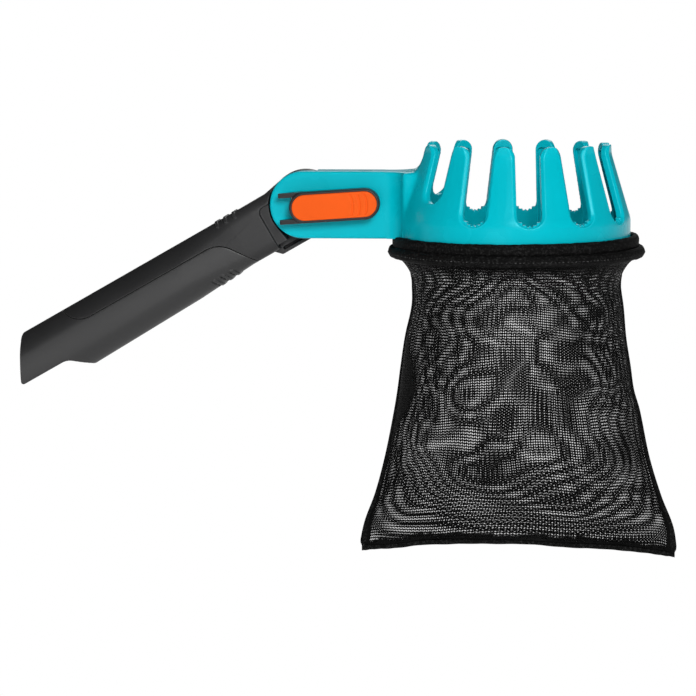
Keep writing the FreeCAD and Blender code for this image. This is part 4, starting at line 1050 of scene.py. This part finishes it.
def white_world():
    """Even light from all round, a dim room in the gloss, and plain white where it is seen itself."""
    world = bpy.data.worlds.new("soft_room")
    bpy.context.scene.world = world
    world.use_nodes = True
    tree = world.node_tree
    background = tree.nodes["Background"]
    background.inputs["Color"].default_value = (1.0, 1.0, 1.0, 1.0)
    path = add_node(tree, "ShaderNodeLightPath", "who looks")
    glossy, through = path.outputs["Is Glossy Ray"], path.outputs["Is Transmission Ray"]
    mirrored = calculate(tree, "MAXIMUM", "mirrored", glossy, through)
    direction = add_node(tree, "ShaderNodeTexCoord", "direction").outputs["Generated"]
    parts = add_node(tree, "ShaderNodeSeparateXYZ", "height")
    tree.links.new(direction, parts.inputs[0])
    ceiling = spread(tree, parts.outputs[2], "ceiling", 0.0, CEILING_HEIGHT, 1.0, CEILING_GLOSS)
    front = spread(
        tree, parts.outputs[1], "front and back of the room", ROOM_FRONT, ROOM_BACK, FRONT_GLOSS, BACK_GLOSS
    )
    ceiling = calculate(tree, "MULTIPLY", "gloss by direction", ceiling, front)
    seen = calculate(tree, "MAXIMUM", "seen or mirrored", path.outputs["Is Camera Ray"], mirrored)
    plain = spread(tree, seen, "room light", 0.0, 1.0, ROOM_LIGHT, 0.0)
    gloss = calculate(tree, "MULTIPLY", "room in the gloss", mirrored, ceiling)
    strength = calculate(tree, "ADD", "room", plain, gloss)
    strength = calculate(tree, "ADD", "room and white", strength, path.outputs["Is Camera Ray"])
    tree.links.new(strength, background.inputs["Strength"])


class COLLECTOR_OT_stage(bpy.types.Operator):
    """Make the floor, the soft studio light and the camera"""

    bl_idname = "collector.stage"
    bl_label = "Stage"

    def execute(self, context):
        deselect_all()
        floor_z = CAD_LOW.z - FLOOR_DROP
        bpy.ops.mesh.primitive_plane_add(size=FLOOR_SIZE, location=(AIM.x, AIM.y, floor_z))
        floor = context.object
        floor.name = "floor"
        material, tree, shader = blank_material("pale_floor")
        place = add_node(tree, "ShaderNodeTexCoord", "place").outputs["Object"]
        cloud = noise_field(tree, place, "faint cloud", 0.5, 2.0)
        pale = blend_colours(tree, cloud, "pale", (0.93, 0.93, 0.93), (0.97, 0.97, 0.97))
        tree.links.new(pale, shader.inputs["Base Color"])
        shader.inputs["Roughness"].default_value = 0.9
        glow = add_node(tree, "ShaderNodeEmission", "white when seen")
        path = add_node(tree, "ShaderNodeLightPath", "who looks")
        mixer = add_node(tree, "ShaderNodeMixShader", "floor or white")
        seen = calculate(
            tree, "MAXIMUM", "seen or mirrored", path.outputs["Is Camera Ray"], path.outputs["Is Glossy Ray"]
        )
        distance = add_node(tree, "ShaderNodeVectorMath", "distance from the object", operation="LENGTH")
        tree.links.new(place, distance.inputs[0])
        far = distance.outputs["Value"]
        white = spread(tree, far, "whiter further off", WHITE_FROM, WHITE_TO, WHITE_SHARE, 1.0)
        share = calculate(tree, "MULTIPLY", "white share", seen, white)
        tree.links.new(share, mixer.inputs[0])
        tree.links.new(shader.outputs[0], mixer.inputs[1])
        tree.links.new(glow.outputs[0], mixer.inputs[2])
        tree.links.new(mixer.outputs[0], tree.nodes["Material Output"].inputs["Surface"])
        floor.data.materials.append(material)
        white_world()
        for name, place, power, width in LIGHTS:
            soft_light(name, place, power, width)
        back = Vector(
            (
                math.sin(CAMERA_AZIMUTH) * math.cos(CAMERA_ELEVATION),
                -math.cos(CAMERA_AZIMUTH) * math.cos(CAMERA_ELEVATION),
                math.sin(CAMERA_ELEVATION),
            )
        )
        bpy.ops.object.camera_add(location=AIM + back * sizes().camera_distance)
        camera = context.object
        camera.name = "camera"
        camera.rotation_mode = "QUATERNION"
        camera.rotation_quaternion = (-back).to_track_quat("-Z", "Y")
        camera.data.sensor_width = SENSOR_WIDTH
        camera.data.lens = sizes().camera_lens
        context.scene.camera = camera
        context.scene.view_settings.view_transform = "Standard"
        return {"FINISHED"}


# Panel and registration


class COLLECTOR_PT_panel(bpy.types.Panel):
    """Lists the fruit collector's settings and steps"""

    bl_idname = "COLLECTOR_PT_panel"
    bl_label = "Fruit collector"
    bl_space_type = "VIEW_3D"
    bl_region_type = "UI"
    bl_category = "Fruit collector"

    def draw(self, context):
        for group in (context.scene.collector_colours, context.scene.collector_sizes):
            for key in group.__annotations__:
                self.layout.prop(group, key)
        for step in STEPS:
            self.layout.operator(step.bl_idname)


STEPS = (
    COLLECTOR_OT_ring_and_arm,
    COLLECTOR_OT_handle,
    COLLECTOR_OT_clamp,
    COLLECTOR_OT_net_bag,
    COLLECTOR_OT_bag_edges,
    COLLECTOR_OT_stage,
)
CLASSES = (CollectorColours, CollectorSizes, *STEPS, COLLECTOR_PT_panel)


def register():
    for cls in CLASSES:
        bpy.utils.register_class(cls)
    bpy.types.Scene.collector_colours = bpy.props.PointerProperty(type=CollectorColours)
    bpy.types.Scene.collector_sizes = bpy.props.PointerProperty(type=CollectorSizes)


def unregister():
    del bpy.types.Scene.collector_sizes
    del bpy.types.Scene.collector_colours
    for cls in reversed(CLASSES):
        bpy.utils.unregister_class(cls)


def main():
    register()
    bpy.ops.collector.ring_and_arm()
    bpy.ops.collector.handle()
    bpy.ops.collector.clamp()
    bpy.ops.collector.net_bag()
    bpy.ops.collector.bag_edges()
    bpy.ops.collector.stage()


if __name__ == "__main__":
    main()
